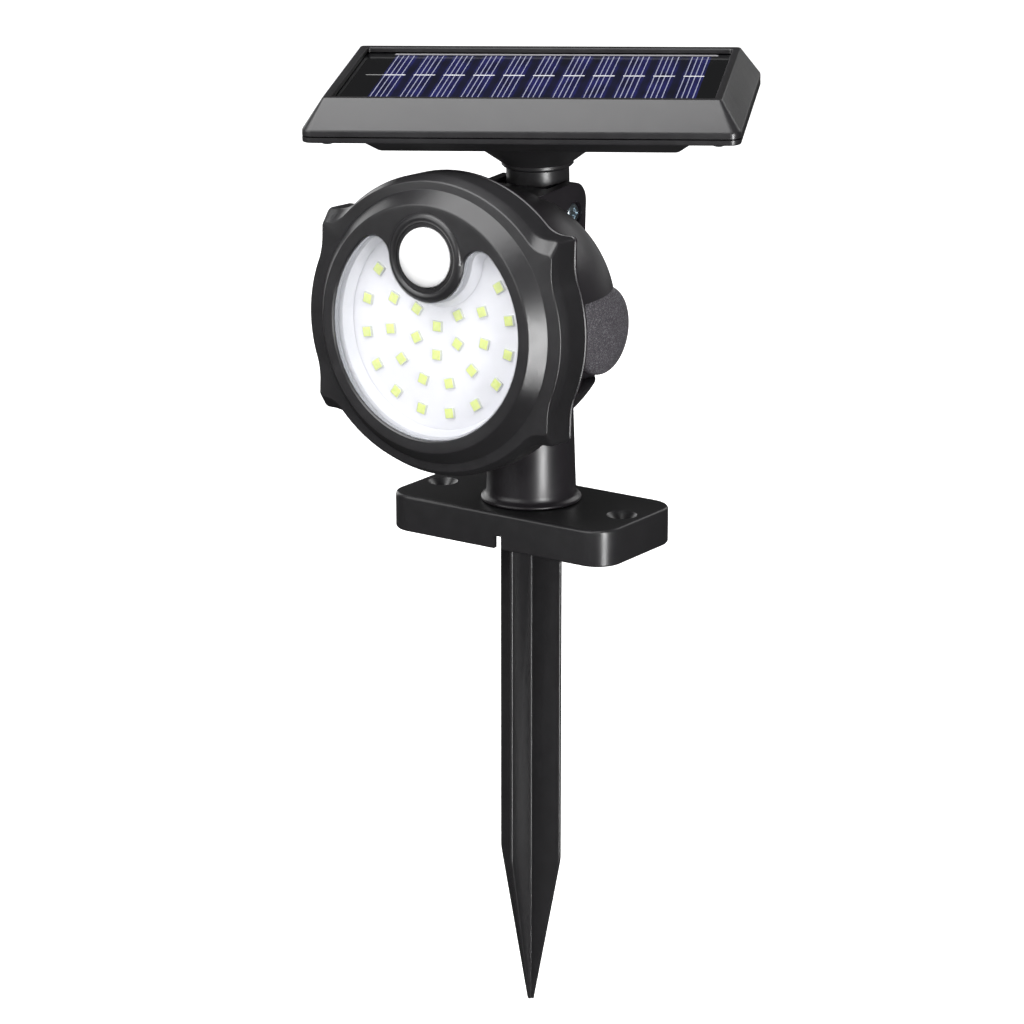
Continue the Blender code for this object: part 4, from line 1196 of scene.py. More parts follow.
@dataclass
class BasePart:
    """The plate on the ground or wall, with its spike, post and screws."""

    finishes: Finishes
    half_length: float = 0.044
    half_depth: float = 0.022
    height: float = 0.0123
    corner: float = 0.009
    wall: float = 0.0022
    edge: float = 0.0011
    hole_offset: float = 0.036
    hole_radius: float = 0.0027
    countersink_radius: float = 0.0048
    countersink_depth: float = 0.0022
    hole_boss: float = 0.0062
    notch: tuple[float, float, float] = (0.0016, 0.0035, 0.0045)
    fin_reach: float = 0.0121
    fin_half: float = 0.00078
    spike_length: float = 0.166
    spike_taper: float = 0.053
    tip_reach: float = 0.0012
    plug_radius: float = 0.0073
    plug_length: float = 0.0085
    pivot_height: float = 0.0733
    foot_radius: float = 0.0167
    post_radii: tuple[float, float] = (0.0149, 0.0129)
    post_bore: tuple[float, float] = (0.0113, 0.0093)
    barrel_radius: float = 0.0126
    barrel_half: float = 0.0132
    screw_offset: float = 0.0127

    def build(self) -> None:
        """Builds the plate, the spike, the post and the two post screws."""
        self.plate()
        self.spike()
        self.post()
        self.screws()

    def plate(self) -> None:
        """The hollow plate with its countersunk holes, spike socket and drain notch."""

        def outline(inset: float) -> Outline:
            """The plate's plan, inset all round."""
            return rounded_rectangle(
                self.half_length - inset, self.half_depth - inset, self.corner - inset, 12
            )

        rings = stacked(
            Axis.Z,
            (outline(0.0004), 0.0),
            (outline(0.0), 0.0005),
            (outline(0.0), self.height),
            (outline(self.edge * 2.4), self.height),
        )
        body = loft(rounded_rings(rings, (0.0, self.edge), 5))
        roof = self.height - self.wall
        below = -0.001
        socket = self.plug_radius + 0.0003
        into_roof = roof + 0.0006
        centres = [(side * self.hole_offset, 0.0) for side in (-1, 1)]
        bosses = [rod(Axis.Z, socket + 0.0018, 0.0, into_roof, steps=50)]
        bosses += [rod(Axis.Z, self.hole_boss, 0.0, into_roof, centre, 44) for centre in centres]
        steps = [
            (Boolean.CUT, prism(Axis.Z, outline(self.wall), below, roof)),
            (Boolean.JOIN, merged(*bosses)),
            (Boolean.CUT, rod(Axis.Z, socket, below, roof, steps=46)),
        ]
        for centre in centres:
            layers = [
                (circle(self.countersink_radius + 0.0017, 38, centre), self.height + 0.001),
                (circle(self.countersink_radius, 38, centre), self.height - 0.0002),
                (circle(self.hole_radius, 38, centre), self.height - self.countersink_depth),
                (circle(self.hole_radius, 38, centre), below),
            ]
            steps.append((Boolean.CUT, stack(Axis.Z, *layers)))
        across, width, rise = self.notch
        low = (across - width / 2, -self.half_depth * 2, below)
        high = (across + width / 2, -self.half_depth + self.wall * 2, rise)
        steps.append((Boolean.CUT, box(low, high)))
        BASE.piece(
            "base_plate_detail",
            worked(body, *steps),
            self.finishes.black,
            Slot.BLACK,
            ["base_plate"],
        )

    def fin_outline(self, reach: float, half: float, root: float) -> Outline:
        """A plus sign with rounded fin ends and a small fillet at each root.

        Args:
            reach: How far a fin stands out.
            half: Half a fin's thickness.
            root: The fillet's size.

        Returns:
            The outline.
        """
        points: Outline = []
        for index in range(4):
            turn = math.radians(90 * index)
            arm = arc((reach - half * 0.9, 0.0), half, -90, 90, 6)
            arm += bezier((half + root, half), (half, half), (half, half + root), 4)
            for u, v in arm:
                points.append(
                    (
                        u * math.cos(turn) - v * math.sin(turn),
                        u * math.sin(turn) + v * math.cos(turn),
                    )
                )
        return points

    def spike(self) -> None:
        """Four thin fins that taper to a point, under a round plug."""
        full = self.fin_outline(self.fin_reach, self.fin_half, 0.0007)
        start = self.spike_taper - self.spike_length
        tip = self.fin_outline(self.tip_reach, self.fin_half * 0.6, 0.0001)
        rings = stacked(Axis.Z, (full, -GAP), (full, start), (tip, -self.spike_length))
        body = loft(rounded_rings(rings, (0.0015,), 4))
        plug = turned(
            Axis.Z,
            [
                (0.0, -0.0043),
                (self.plug_radius, -0.0043),
                (self.plug_radius, self.plug_length - 0.0006),
                (self.plug_radius - 0.0006, self.plug_length),
                (0.0, self.plug_length),
            ],
            steps=44,
        )
        BASE.piece(
            "ground_spike_detail",
            worked(body, (Boolean.JOIN, plug)),
            self.finishes.black,
            Slot.BLACK,
            ["ground_spike"],
        )

    def post(self) -> None:
        """The tapered hollow post, with a flared foot and a cross barrel."""
        foot = self.height + GAP
        low_radius, top_radius = self.post_radii
        outer = [
            (0.0, foot),
            (self.foot_radius, foot),
            (self.foot_radius, foot + 0.0009),
            (low_radius + 0.0004, foot + 0.0018),
            (low_radius, foot + 0.0032),
            (top_radius, self.pivot_height),
            (0.0, self.pivot_height),
        ]
        body = turned(Axis.Z, soft_profile(outer, 0.0005, 3), steps=96)
        barrel = turned(
            Axis.X,
            soft_profile(
                bar_profile(self.barrel_radius, -self.barrel_half, self.barrel_half), 0.0005, 3
            ),
            (0.0, self.pivot_height),
            72,
        )
        below = foot - 0.001
        top = self.pivot_height - self.barrel_radius
        low_bore, top_bore = self.post_bore
        taper = [(0.0, below), (low_bore, below), (top_bore, top), (0.0, top)]
        bore = turned(Axis.Z, taper, steps=52)
        steps = [
            (Boolean.JOIN, barrel),
            (Boolean.CUT, bore),
            (Boolean.CUT, rod(Axis.X, PIVOT_BORE, -FAR, FAR, (0.0, self.pivot_height), 36)),
        ]
        BASE.piece(
            "post_detail", worked(body, *steps), self.finishes.deep_black, Slot.BLACK, ["post"]
        )

    def screws(self) -> None:
        """The two screws under the plate's roof that hold the post."""
        screw = CrossScrew(0.0023, 0.0018, 0.0012, 0.0075)
        seat = self.height - self.wall - GAP
        for name, side in (("left", -1), ("right", 1)):
            node = f"post_screw_{name}"
            shape = screw.shape(Axis.Z, seat, 1, (side * self.screw_offset, 0.0))
            BASE.piece(f"{node}_detail", shape, self.finishes.zinc, Slot.ZINC, [node])


@dataclass
class HeadOutline:
    """The four-lugged outline that the bezel and the rear shell share."""

    halves: tuple[float, float]
    lug: tuple[float, float]
    blend: float = 0.0045
    corner: float = 0.0016

    def points(self, inset: float = 0.0) -> Outline:
        """The outline, inset all round, with the same number of points each time.

        Args:
            inset: How far inside the full outline it runs.

        Returns:
            The outline.
        """
        half_u, half_v = self.halves[0] - inset, self.halves[1] - inset
        lug_u, lug_v = self.lug[0] - inset, self.lug[1] - inset
        corner, blend = self.corner, self.blend

        def on_oval(degrees: float) -> tuple[float, float]:
            """A point of the oval between the lugs."""
            turn = math.radians(degrees)
            return (half_u * math.cos(turn), half_v * math.sin(turn))

        side_angle = math.degrees(math.acos(lug_u / half_u))
        top_angle = math.degrees(math.asin(lug_v / half_v))
        side = (lug_u, half_v * math.sin(math.radians(side_angle)))
        top = (half_u * math.cos(math.radians(top_angle)), lug_v)
        blend_angle = math.degrees(blend / half_u)
        low = side_angle - blend_angle
        high = top_angle + blend_angle
        quarter = [on_oval(low * i / 12) for i in range(12)]
        quarter += bezier(on_oval(low), side, (lug_u, min(side[1] + blend, lug_v - corner)), 8)
        quarter += arc((lug_u - corner, lug_v - corner), corner, 0, 90, 8)
        quarter += bezier((min(top[0] + blend, lug_u - corner), lug_v), top, on_oval(high), 8)
        quarter += [on_oval(high + (90 - high) * i / 14) for i in range(1, 14)]
        quarter.append((0.0, half_v))
        left = [(-u, v) for u, v in reversed(quarter[:-1])]
        upper = quarter + left
        return upper + [(u, -v) for u, v in reversed(upper[1:-1])]


@dataclass
class LampWindow:
    """The lamp's window: a disc less a round bite at the top, with two round horns."""

    lens_radius: float = 0.0357
    bite_radius: float = 0.0148
    horn_radius: float = 0.0058
    sensor_rise: float = 0.0233

    def points(self, grow: float = 0.0, steps: int = 96) -> Outline:
        """The outline, larger all round by grow.

        Args:
            grow: How far outside the window it runs.
            steps: How many segments the long arc has.

        Returns:
            The outline.
        """
        lens = self.lens_radius + grow
        bite = self.bite_radius - grow
        horn = self.horn_radius + grow
        to_lens = self.lens_radius - self.horn_radius
        to_bite = self.bite_radius + self.horn_radius
        horn_v = (to_lens**2 - to_bite**2 + self.sensor_rise**2) / (2 * self.sensor_rise)
        horn_u = math.sqrt(to_lens**2 - horn_v**2)
        lens_angle = math.degrees(math.atan2(horn_v, horn_u))
        bite_angle = math.degrees(math.atan2(horn_v - self.sensor_rise, horn_u))
        points = arc((0.0, 0.0), lens, 180 - lens_angle, 360 + lens_angle, steps)
        points += arc((horn_u, horn_v), horn, lens_angle, 180 + bite_angle, 16)[1:]
        points += arc((0.0, self.sensor_rise), bite, bite_angle, -180 - bite_angle, 32)[1:]
        points += arc((-horn_u, horn_v), horn, -bite_angle, 180 - lens_angle, 16)[1:-1]
        return points


@dataclass
class LampHead:
    """The lamp head: bezel, window, LEDs, sensor, rear shell, caps and screws."""

    finishes: Finishes
    window: LampWindow
    rise: float = 0.0058
    front: float = -0.0606
    ledge: float = -0.0556
    shoulder: float = -0.0520
    seam: float = -0.0432
    lip: float = -0.0415
    dome_end: float = 0.0185
    dome_radius: float = 0.0436
    dome_power: float = 2.3
    crest: float = 0.0400
    ring_base: float = 0.0441
    wall: float = 0.0022
    front_wall: float = 0.0024
    led_plane: float = -0.0535
    led_height: float = 0.0008
    led_half: float = 0.00175
    phosphor_half: float = 0.00150
    led_rings: tuple[tuple[float, int, float], ...] = (
        (0.0, 1, 0.0),
        (0.26, 5, 60.0),
        (0.52, 8, 32.0),
        (0.787, 12, 22.5),
    )
    board_radius: float = 0.0412
    sensor_radius: float = 0.0096
    sensor_flange: float = 0.0112
    sensor_ring: tuple[float, float] = (0.0113, 0.0139)
    lug_screw: tuple[float, float] = (0.0408, 0.0292)
    boss_radius: float = 0.0149
    boss_half: float = 0.026
    cheek: float = 0.0144
    pocket_half: float = 0.0153
    ear_inner: float = 0.0109
    ear_outer: float = 0.0143
    button_rise: float = 0.0212
    button_face: float = 0.0186
    button_boss: float = 0.0066
    button_roof: float = 0.0024
    bolt_seat: float = 0.0018
    cap_radius: float = 0.0147

    def __post_init__(self) -> None:
        """Sets the two outlines of the front shell."""
        self.ledge_outline = HeadOutline((0.0488, 0.0468), (0.0446, 0.0288))
        self.shoulder_outline = HeadOutline((0.0499, 0.0487), (0.0450, 0.0330))
        self.sensor_centre = (0.0, self.rise + self.window.sensor_rise)

    def build(self) -> None:
        """Builds every visible piece of the head."""
        self.bezel()
        self.lens()
        self.reflector()
        self.led_board()
        self.sensor()
        self.rear_shell()
        self.caps()
        self.screws()
        self.button()

    def lug_places(self) -> list[tuple[float, float]]:
        """The four housing screws, as (x, z) in the head's frame."""
        return [
            (side * self.lug_screw[0], self.rise + up * self.lug_screw[1])
            for up in (1, -1)
            for side in (-1, 1)
        ]

    def bezel(self) -> None:
        """The front shell: lugged rim, bevelled ring, window and sensor opening."""
        ledge = self.ledge_outline.points()
        shoulder = self.shoulder_outline.points()
        angles = [math.atan2(v, u) for u, v in ledge]

        def round_ring(radius: float) -> Outline:
            """A circle with a point for each point of the lugged outline."""
            return [(radius * math.cos(a), radius * math.sin(a)) for a in angles]

        rings = stacked(
            Axis.Y,
            (self.shoulder_outline.points(0.00035), self.seam),
            (shoulder, self.seam - 0.00035),
            (shoulder, self.shoulder),
            (ledge, self.ledge),
            (round_ring(self.ring_base), self.ledge),
            (round_ring(self.crest), self.front),
            (round_ring(self.crest * 0.96), self.front),
            rise=self.rise,
        )
        radii = (0.0, 0.0009, 0.00045, 0.00012, 0.00045)
        body = loft(rounded_rings(rings, radii, 4))
        axis = (0.0, self.rise)
        inside = self.front + self.front_wall
        ledge_back = self.ledge + self.front_wall
        ring_middle = sum(self.sensor_ring) / 2
        swell, lift, buried = 0.0015, 0.0013, self.front + 0.001
        turns = [math.radians(180 * i / 12) for i in range(13)]
        crest = [
            (ring_middle - swell * math.cos(t), self.front + 0.0002 - lift * math.sin(t))
            for t in turns
        ]
        sensor_ring = [(crest[0][0], buried), *crest, (crest[-1][0], buried)]
        wide = self.shoulder_outline.halves[0] - self.wall
        hollow = [
            (0.0, inside),
            (self.crest - 0.0012, inside),
            (self.ring_base - self.wall, self.ledge + 0.001),
            (self.ring_base - self.wall, ledge_back),
            (self.ledge_outline.halves[1] - self.wall, ledge_back),
            (wide, self.shoulder + 0.0012),
            (wide, self.seam + 0.001),
            (0.0, self.seam + 0.001),
        ]
        flare = 0.0004
        window_tool = stack(
            Axis.Y,
            (self.window.points(GAP + flare + 0.0024), self.front - 0.0024),
            (self.window.points(GAP + flare), self.front),
            (self.window.points(GAP), self.front + flare),
            (self.window.points(GAP), 0.5 * (inside + self.ledge)),
            rise=self.rise,
        )
        opening = bar_profile(self.sensor_radius + GAP, self.front - 0.003, inside + 0.001)
        sensor_tool = turned(Axis.Y, opening, self.sensor_centre, 70)
        steps = [
            (Boolean.JOIN, turned(Axis.Y, sensor_ring, self.sensor_centre, 84)),
            (Boolean.CUT, turned(Axis.Y, hollow, axis, 110)),
            (Boolean.CUT, window_tool),
            (Boolean.CUT, sensor_tool),
        ]
        for u, v in self.lug_places():
            hole = rod(Axis.Y, SCREW_HOLE, self.lip - 0.0088, 0.0, (u, v), 22)
            steps.append((Boolean.CUT, hole))
        HEAD.piece(
            "front_bezel_detail",
            worked(body, *steps),
            self.finishes.black,
            Slot.BLACK,
            ["front_bezel"],
            crease=26.0,
        )

    def lens(self) -> None:
        """The clear window with its flange behind the front wall."""
        seat = self.front + self.front_wall + GAP
        back = seat + 0.0012
        front = self.front + 0.0003
        grow = self.window.points
        shape = stack(
            Axis.Y,
            (grow(0.0012), back),
            (grow(0.0012), seat),
            (grow(0.0), seat),
            (grow(0.0), front + 0.0005),
            (grow(-0.00015), front + 0.00015),
            (grow(-0.0005), front),
            rise=self.rise,
        )
        HEAD.piece("lens_cover_detail", shape, self.finishes.clear, Slot.CLEAR, ["lens_cover"])

    def reflector(self) -> None:
        """The white frame between the window and the LED board, its inner wall sloped."""
        front = self.front + self.front_wall + GAP + 0.0012 + GAP
        back = self.led_plane + self.led_height - GAP
        grow = self.window.points
        rings = stacked(
            Axis.Y,
            (grow(0.0009), back),
            (grow(0.0009), front),
            (grow(-0.0005), front),
            (grow(-0.0022), back),
            rise=self.rise,
        )
        HEAD.piece(
            "reflector_detail",
            loft(rings, tube=True),
            self.finishes.white,
            Slot.WHITE,
            ["reflector"],
        )

    def led_places(self) -> list[tuple[float, float, float]]:
        """Each LED as (x, z, turn), in rings about the lamp's axis that open at the top.

        A ring is its share of the window's radius, its count and its spacing in degrees.

        Returns:
            The places, from the middle out.
        """
        places = []
        for share, count, spacing in self.led_rings:
            radius = self.window.lens_radius * share
            for index in range(count):
                turn = math.radians((index - (count - 1) / 2) * spacing)
                places.append((radius * math.sin(turn), -radius * math.cos(turn), turn))
        return places

    def led_board(self) -> None:
        """The white board, the LED bodies on it and the phosphor in each."""
        front = self.led_plane + self.led_height
        back = front + 0.0016
        profile = bar_profile(self.board_radius, front, back)
        board = turned(Axis.Y, soft_profile(profile, 0.0002, 2), (0.0, self.rise), 88)
        HEAD.piece("led_board_detail", board, self.finishes.board_white, Slot.LED, ["led_board"])

        def square(half: float, corner: float, steps: int) -> Outline:
            """An LED's square outline with round corners."""
            return rounded_rectangle(half, half, corner, steps)

        bodies, phosphors = [], []
        for x, z, turn in self.led_places():
            place = Matrix.Translation((x, 0.0, z + self.rise)) @ Matrix.Rotation(-turn, 4, "Y")
            body = stack(
                Axis.Y,
                (square(self.led_half, 0.0002, 2), front + GAP),
                (square(self.led_half, 0.0002, 2), self.led_plane + 0.0001),
                (square(self.led_half - 0.0001, 0.0002, 2), self.led_plane),
            )
            glow = stack(
                Axis.Y,
                (square(self.phosphor_half, 0.00025, 3), self.led_plane + 0.0002),
                (square(self.phosphor_half, 0.00025, 3), self.led_plane - 0.00004),
                (square(self.phosphor_half - 0.00012, 0.00022, 3), self.led_plane - 0.0001),
            )
            for made, shapes in ((body, bodies), (glow, phosphors)):
                bmesh.ops.transform(made, matrix=place, verts=made.verts)
                shapes.append(made)
        HEAD.piece("led_bodies", merged(*bodies), self.finishes.led_body, Slot.LED)
        HEAD.piece("led_phosphor", merged(*phosphors), self.finishes.phosphor, Slot.LED)

    def sensor(self) -> None:
        """The white dome of the motion sensor, held by a flange."""
        seat = self.front + self.front_wall + GAP
        back = seat + 0.001
        bulge, thick = 0.0046, 0.0008
        turns = [math.radians(90 * i / 16) for i in range(16)]

        def dome(inset: float) -> Outline:
            """The sensor dome's points from its rim to its crown."""
            radius, rise = self.sensor_radius - inset, bulge - inset
            points = [(radius * math.cos(t), self.front - rise * math.sin(t)) for t in turns]
            return [*points, (0.0, self.front - rise)]

        profile = [
            *reversed(dome(thick)),
            (self.sensor_radius - thick, back),
            (self.sensor_flange, back),
            (self.sensor_flange, seat),
            (self.sensor_radius, seat),
            *dome(0.0),
        ]
        shape = turned(Axis.Y, profile, self.sensor_centre, 72)
        HEAD.piece("sensor_lens_detail", shape, self.finishes.sensor, Slot.SENSOR, ["sensor_lens"])

    def dome(self, inset: float = 0.0, steps: int = 26) -> Outline:
        """The dome's (radius, y) points from the lip back to its crown.

        Args:
            inset: How far inside the dome the points lie.
            steps: How many segments they make.

        Returns:
            The points.
        """
        length = self.dome_end - self.lip - inset
        points: Outline = []
        for index in range(steps + 1):
            t = math.sin(math.radians(90 * index / steps))
            radius = (self.dome_radius - inset) * math.sqrt(max(0.0, 1 - t**self.dome_power))
            points.append((radius, self.lip + length * t))
        points[-1] = (0.0, points[-1][1])
        return points

    def channel(
        self, radius: float, start: float, end: float, centre: tuple[float, float], half: float
    ) -> bmesh.types.BMesh:
        """A bearing space about a cross axis, open between two directions in degrees.

        Args:
            radius: The space's radius.
            start: The first open direction.
            end: The last open direction.
            centre: The cross axis's place.
            half: Half the space's width.

        Returns:
            The tool that cuts the space.
        """
        points = arc(centre, radius, end + 90, start + 270, 30)
        for direction, side in ((start, -90), (end, 90)):
            along = math.radians(direction)
            across = math.radians(direction + side)
            points.append(
                (
                    centre[0] + 0.12 * math.cos(along) + radius * math.cos(across),
                    centre[1] + 0.12 * math.sin(along) + radius * math.sin(across),
                )
            )
        return prism(Axis.X, points, -half, half)

    def post_channel(self, extra: float = 0.0) -> bmesh.types.BMesh:
        """The slot in which the post stands through the head's whole tilt."""
        return self.channel(0.0146 + extra, -110.0, -40.0, (0.0, 0.0), self.cheek + extra)

    def neck_channel(self, extra: float = 0.0) -> bmesh.types.BMesh:
        """The slot on top in which the neck stands."""
        return self.channel(
            0.0115 + extra, 35.0, 90.0, (HINGE_Y, HINGE_RISE), self.ear_inner + extra
        )

    def ears(self) -> Outline:
        """The side view of both ears.

        Returns:
            The outline as (y, z).
        """
        back = HINGE_Y + 0.0064
        top = HINGE_RISE + 0.0103
        first = HINGE_Y - 0.024
        root = HINGE_RISE - 0.014
        corner = 0.0070
        points = [(first, root), (back - 0.004, root), (back, root + 0.006)]
        points += arc((back - corner, top - corner), corner, 0, 90, 16)
        points.append((first, top - 0.10 * (back - corner - first)))
        return points

    def rear_shell(self) -> None:
        """The rear shell: lip, dome, pivot bosses, neck ears and button boss."""
        front = self.seam + GAP
        lip = self.shoulder_outline
        rings = stacked(
            Axis.Y,
            (lip.points(0.0003), front),
            (lip.points(), front + 0.0003),
            (lip.points(), self.lip - 0.0004),
            (lip.points(0.0004), self.lip),
            rise=self.rise,
        )
        axis = (0.0, self.rise)
        dome = [(0.0, front + 0.0005), (self.dome_radius, front + 0.0005), *self.dome()]
        button = (0.0, self.button_rise)
        boss = soft_profile(
            bar_profile(self.boss_radius, -self.boss_half, self.boss_half), 0.0005, 3
        )
        boss_button = soft_profile(
            bar_profile(self.button_boss, 0.006, self.button_face), 0.0006, 3
        )
        ear_body = prism(Axis.X, self.ears(), -self.ear_outer, self.ear_outer)
        inner = [(0.0, front - 0.001), (self.dome_radius - self.wall, front - 0.001)]
        inner += self.dome(self.wall)
        pocket = self.pocket_half + self.wall
        floor = self.boss_half - self.wall
        outside, behind = 0.08, 0.04
        bosses = [
            rod(Axis.X, self.boss_radius, *span(side, self.cheek, self.boss_half + 0.001), steps=62)
            for side in (1, -1)
        ]
        hollow_steps = [
            (Boolean.CUT, self.post_channel(self.wall)),
            (Boolean.CUT, self.neck_channel(self.wall)),
            (Boolean.CUT, merged(*bosses)),
        ]
        for side in (-1, 1):
            low, high = span(side, floor, outside)
            hollow_steps.append(
                (Boolean.CUT, box((low, self.lip - 0.001, -pocket), (high, behind, pocket)))
            )
        hollow_steps.append(
            (Boolean.CUT, rod(Axis.Y, self.button_boss, 0.0061, 0.03, button, 46))
        )
        hollow = worked(turned(Axis.Y, inner, axis, 108), *hollow_steps)
        steps = [
            (Boolean.JOIN, turned(Axis.Y, dome, axis, 108)),
            (Boolean.JOIN, turned(Axis.X, boss, steps=72)),
            (Boolean.JOIN, ear_body),
            (Boolean.JOIN, turned(Axis.Y, boss_button, button, 52)),
            (Boolean.CUT, hollow),
            (Boolean.CUT, self.post_channel()),
            (Boolean.CUT, self.neck_channel()),
        ]
        for side in (-1, 1):
            low, high = span(side, self.boss_half, outside)
            tool = box((low, self.lip, -self.pocket_half), (high, behind, self.pocket_half))
            steps.append((Boolean.CUT, tool))
        steps += self.shell_bores()
        HEAD.piece(
            "rear_shell_detail",
            worked(loft(rings), *steps),
            self.finishes.deep_black,
            Slot.BLACK,
            ["rear_shell"],
            crease=30.0,
        )

    def shell_bores(self) -> list[tuple[Boolean, bmesh.types.BMesh]]:
        """The rear shell's holes: pivot, hinge, housing screws and button well.

        Returns:
            The cuts, in order.
        """
        hinge = (HINGE_Y, HINGE_RISE)
        button = (0.0, self.button_rise)
        reach = 0.05
        cuts = [rod(Axis.X, PIVOT_BORE, -reach, reach, steps=30)]
        for side in (-1, 1):
            ends = span(side, self.boss_half - 0.0039, self.boss_half + 0.001)
            cuts.append(rod(Axis.X, 0.0052, *ends, steps=34))
        cuts.append(rod(Axis.X, HINGE_BORE, -reach, reach, hinge, 28))
        for side in (-1, 1):
            ends = span(side, self.ear_outer - self.bolt_seat, self.ear_outer + 0.001)
            cuts.append(rod(Axis.X, 0.0041, *ends, hinge, 38))
        for place in self.lug_places():
            cuts.append(rod(Axis.Y, SCREW_HOLE, -0.06, 0.0, place, 22))
        cuts.append(rod(Axis.Y, 0.0038, 0.0, 0.03, button, 44))
        cuts.append(rod(Axis.Y, 0.0052, 0.0, self.button_face - self.button_roof, button, 42))
        return [(Boolean.CUT, tool) for tool in cuts]

    def caps(self) -> None:
        """The two domed caps over the ends of the pivot."""
        base = self.boss_half + GAP
        rim, crown, radius, recess = 0.0018, 0.0034, self.cap_radius, 0.006
        for name, side in (("left", -1), ("right", 1)):
            profile = [
                (0.0, base + 0.0008),
                (recess, base + 0.0008),
                (recess, base),
                (radius - 0.0003, base),
                (radius, base + 0.0003),
                (radius, base + rim * 0.8),
            ]
            for index in range(1, 15):
                turn = math.radians(90 * index / 14)
                reach = (radius - 0.0002) * math.cos(turn) if index < 14 else 0.0
                profile.append((reach, base + rim + crown * math.sin(turn)))
            points = [(r, side * a) for r, a in profile]
            node = f"pivot_cap_{name}"
            HEAD.piece(
                f"{node}_detail",
                turned(Axis.X, points, steps=80),
                self.finishes.caps,
                Slot.TEXTURED,
                [node],
            )

    def screws(self) -> None:
        """The housing screws and the hinge bolt and nut, with their driving shapes."""
        screw = CrossScrew(0.0026, 0.0018, 0.0012, 0.0088)
        names = ("upper_left", "upper_right", "lower_left", "lower_right")
        for name, centre in zip(names, self.lug_places()):
            node = f"housing_screw_{name}"
            shape = screw.shape(Axis.Y, self.lip + GAP, -1, centre)
            HEAD.piece(f"{node}_detail", shape, self.finishes.zinc, Slot.ZINC, [node])
        hinge = (HINGE_Y, HINGE_RISE)
        seat = self.ear_outer - self.bolt_seat + GAP
        bolt = CrossScrew(0.0034, 0.0015, 0.002, seat + self.ear_outer)
        HEAD.piece(
            "hinge_bolt_detail",
            bolt.shape(Axis.X, seat, -1, hinge),
            self.finishes.zinc,
            Slot.ZINC,
            ["hinge_bolt"],
        )
        nut = stack(
            Axis.X,
            (circle(0.0034, 6, hinge), -seat),
            (circle(0.0034, 6, hinge), -seat - 0.0011),
            (circle(0.0030, 6, hinge), -seat - 0.0014),
        )
        HEAD.piece(
            "hinge_nut_detail",
            worked(nut, (Boolean.CUT, rod(Axis.X, HINGE_BORE, -FAR, FAR, hinge, 30))),
            self.finishes.zinc,
            Slot.ZINC,
            ["hinge_nut"],
            crease=20.0,
        )

    def button(self) -> None:
        """The rubber push-button, with a shallow dished top."""
        outer = self.button_face + 0.0014
        inside = self.button_face - self.button_roof
        profile = [
            (0.0, outer - 0.00025),
            (0.0018, outer - 0.00015),
            (0.0029, outer),
            (0.0035, outer - 0.0006),
            (0.0035, inside - GAP),
            (0.0047, inside - GAP),
            (0.0047, inside - GAP - 0.0012),
            (0.0, inside - GAP - 0.0012),
        ]
        BUTTON.piece(
            "mode_button_detail",
            turned(Axis.Y, soft_profile(profile, 0.0003, 3), (0.0, self.button_rise), 48),
            self.finishes.grip_rubber,
            Slot.RUBBER,
            ["mode_button"],
        )


@dataclass
class PanelNeck:
    """The neck between the lamp head and the solar panel."""

    finishes: Finishes
    radius: float = 0.0103
    barrel_radius: float = 0.0098
    barrel_half: float = 0.0104
    shoulder: float = 0.0150
    spigot: float = 0.0072
    top: float = 0.0310
    clip_low: float = 0.0270

    def build(self) -> None:
        """The cross barrel, the round column and the bored spigot as one piece."""
        half = self.barrel_half
        profile = bar_profile(self.barrel_radius, -half, half)
        barrel = turned(Axis.X, soft_profile(profile, 0.0004, 3), steps=70)
        groove = self.spigot - 0.0009
        column = [
            (0.0, 0.0),
            (self.radius, 0.0),
            (self.radius, self.shoulder - GAP - 0.0003),
            (self.radius - 0.0003, self.shoulder - GAP),
            (self.spigot, self.shoulder - GAP),
            (self.spigot, self.clip_low - GAP),
            (groove, self.clip_low - GAP),
            (groove, self.clip_low + 0.001 + GAP),
            (self.spigot, self.clip_low + 0.001 + GAP),
            (self.spigot, self.top - 0.0003),
            (self.spigot - 0.0003, self.top),
            (0.0, self.top),
        ]
        steps = [
            (Boolean.JOIN, turned(Axis.Z, column, steps=66)),
            (Boolean.CUT, rod(Axis.Z, 0.0038, self.radius, 0.1, steps=36)),
            (Boolean.CUT, rod(Axis.X, HINGE_BORE, -FAR, FAR, steps=34)),
        ]
        NECK.piece(
            "panel_neck_detail",
            worked(barrel, *steps),
            self.finishes.black,
            Slot.BLACK,
            ["panel_neck"],
        )


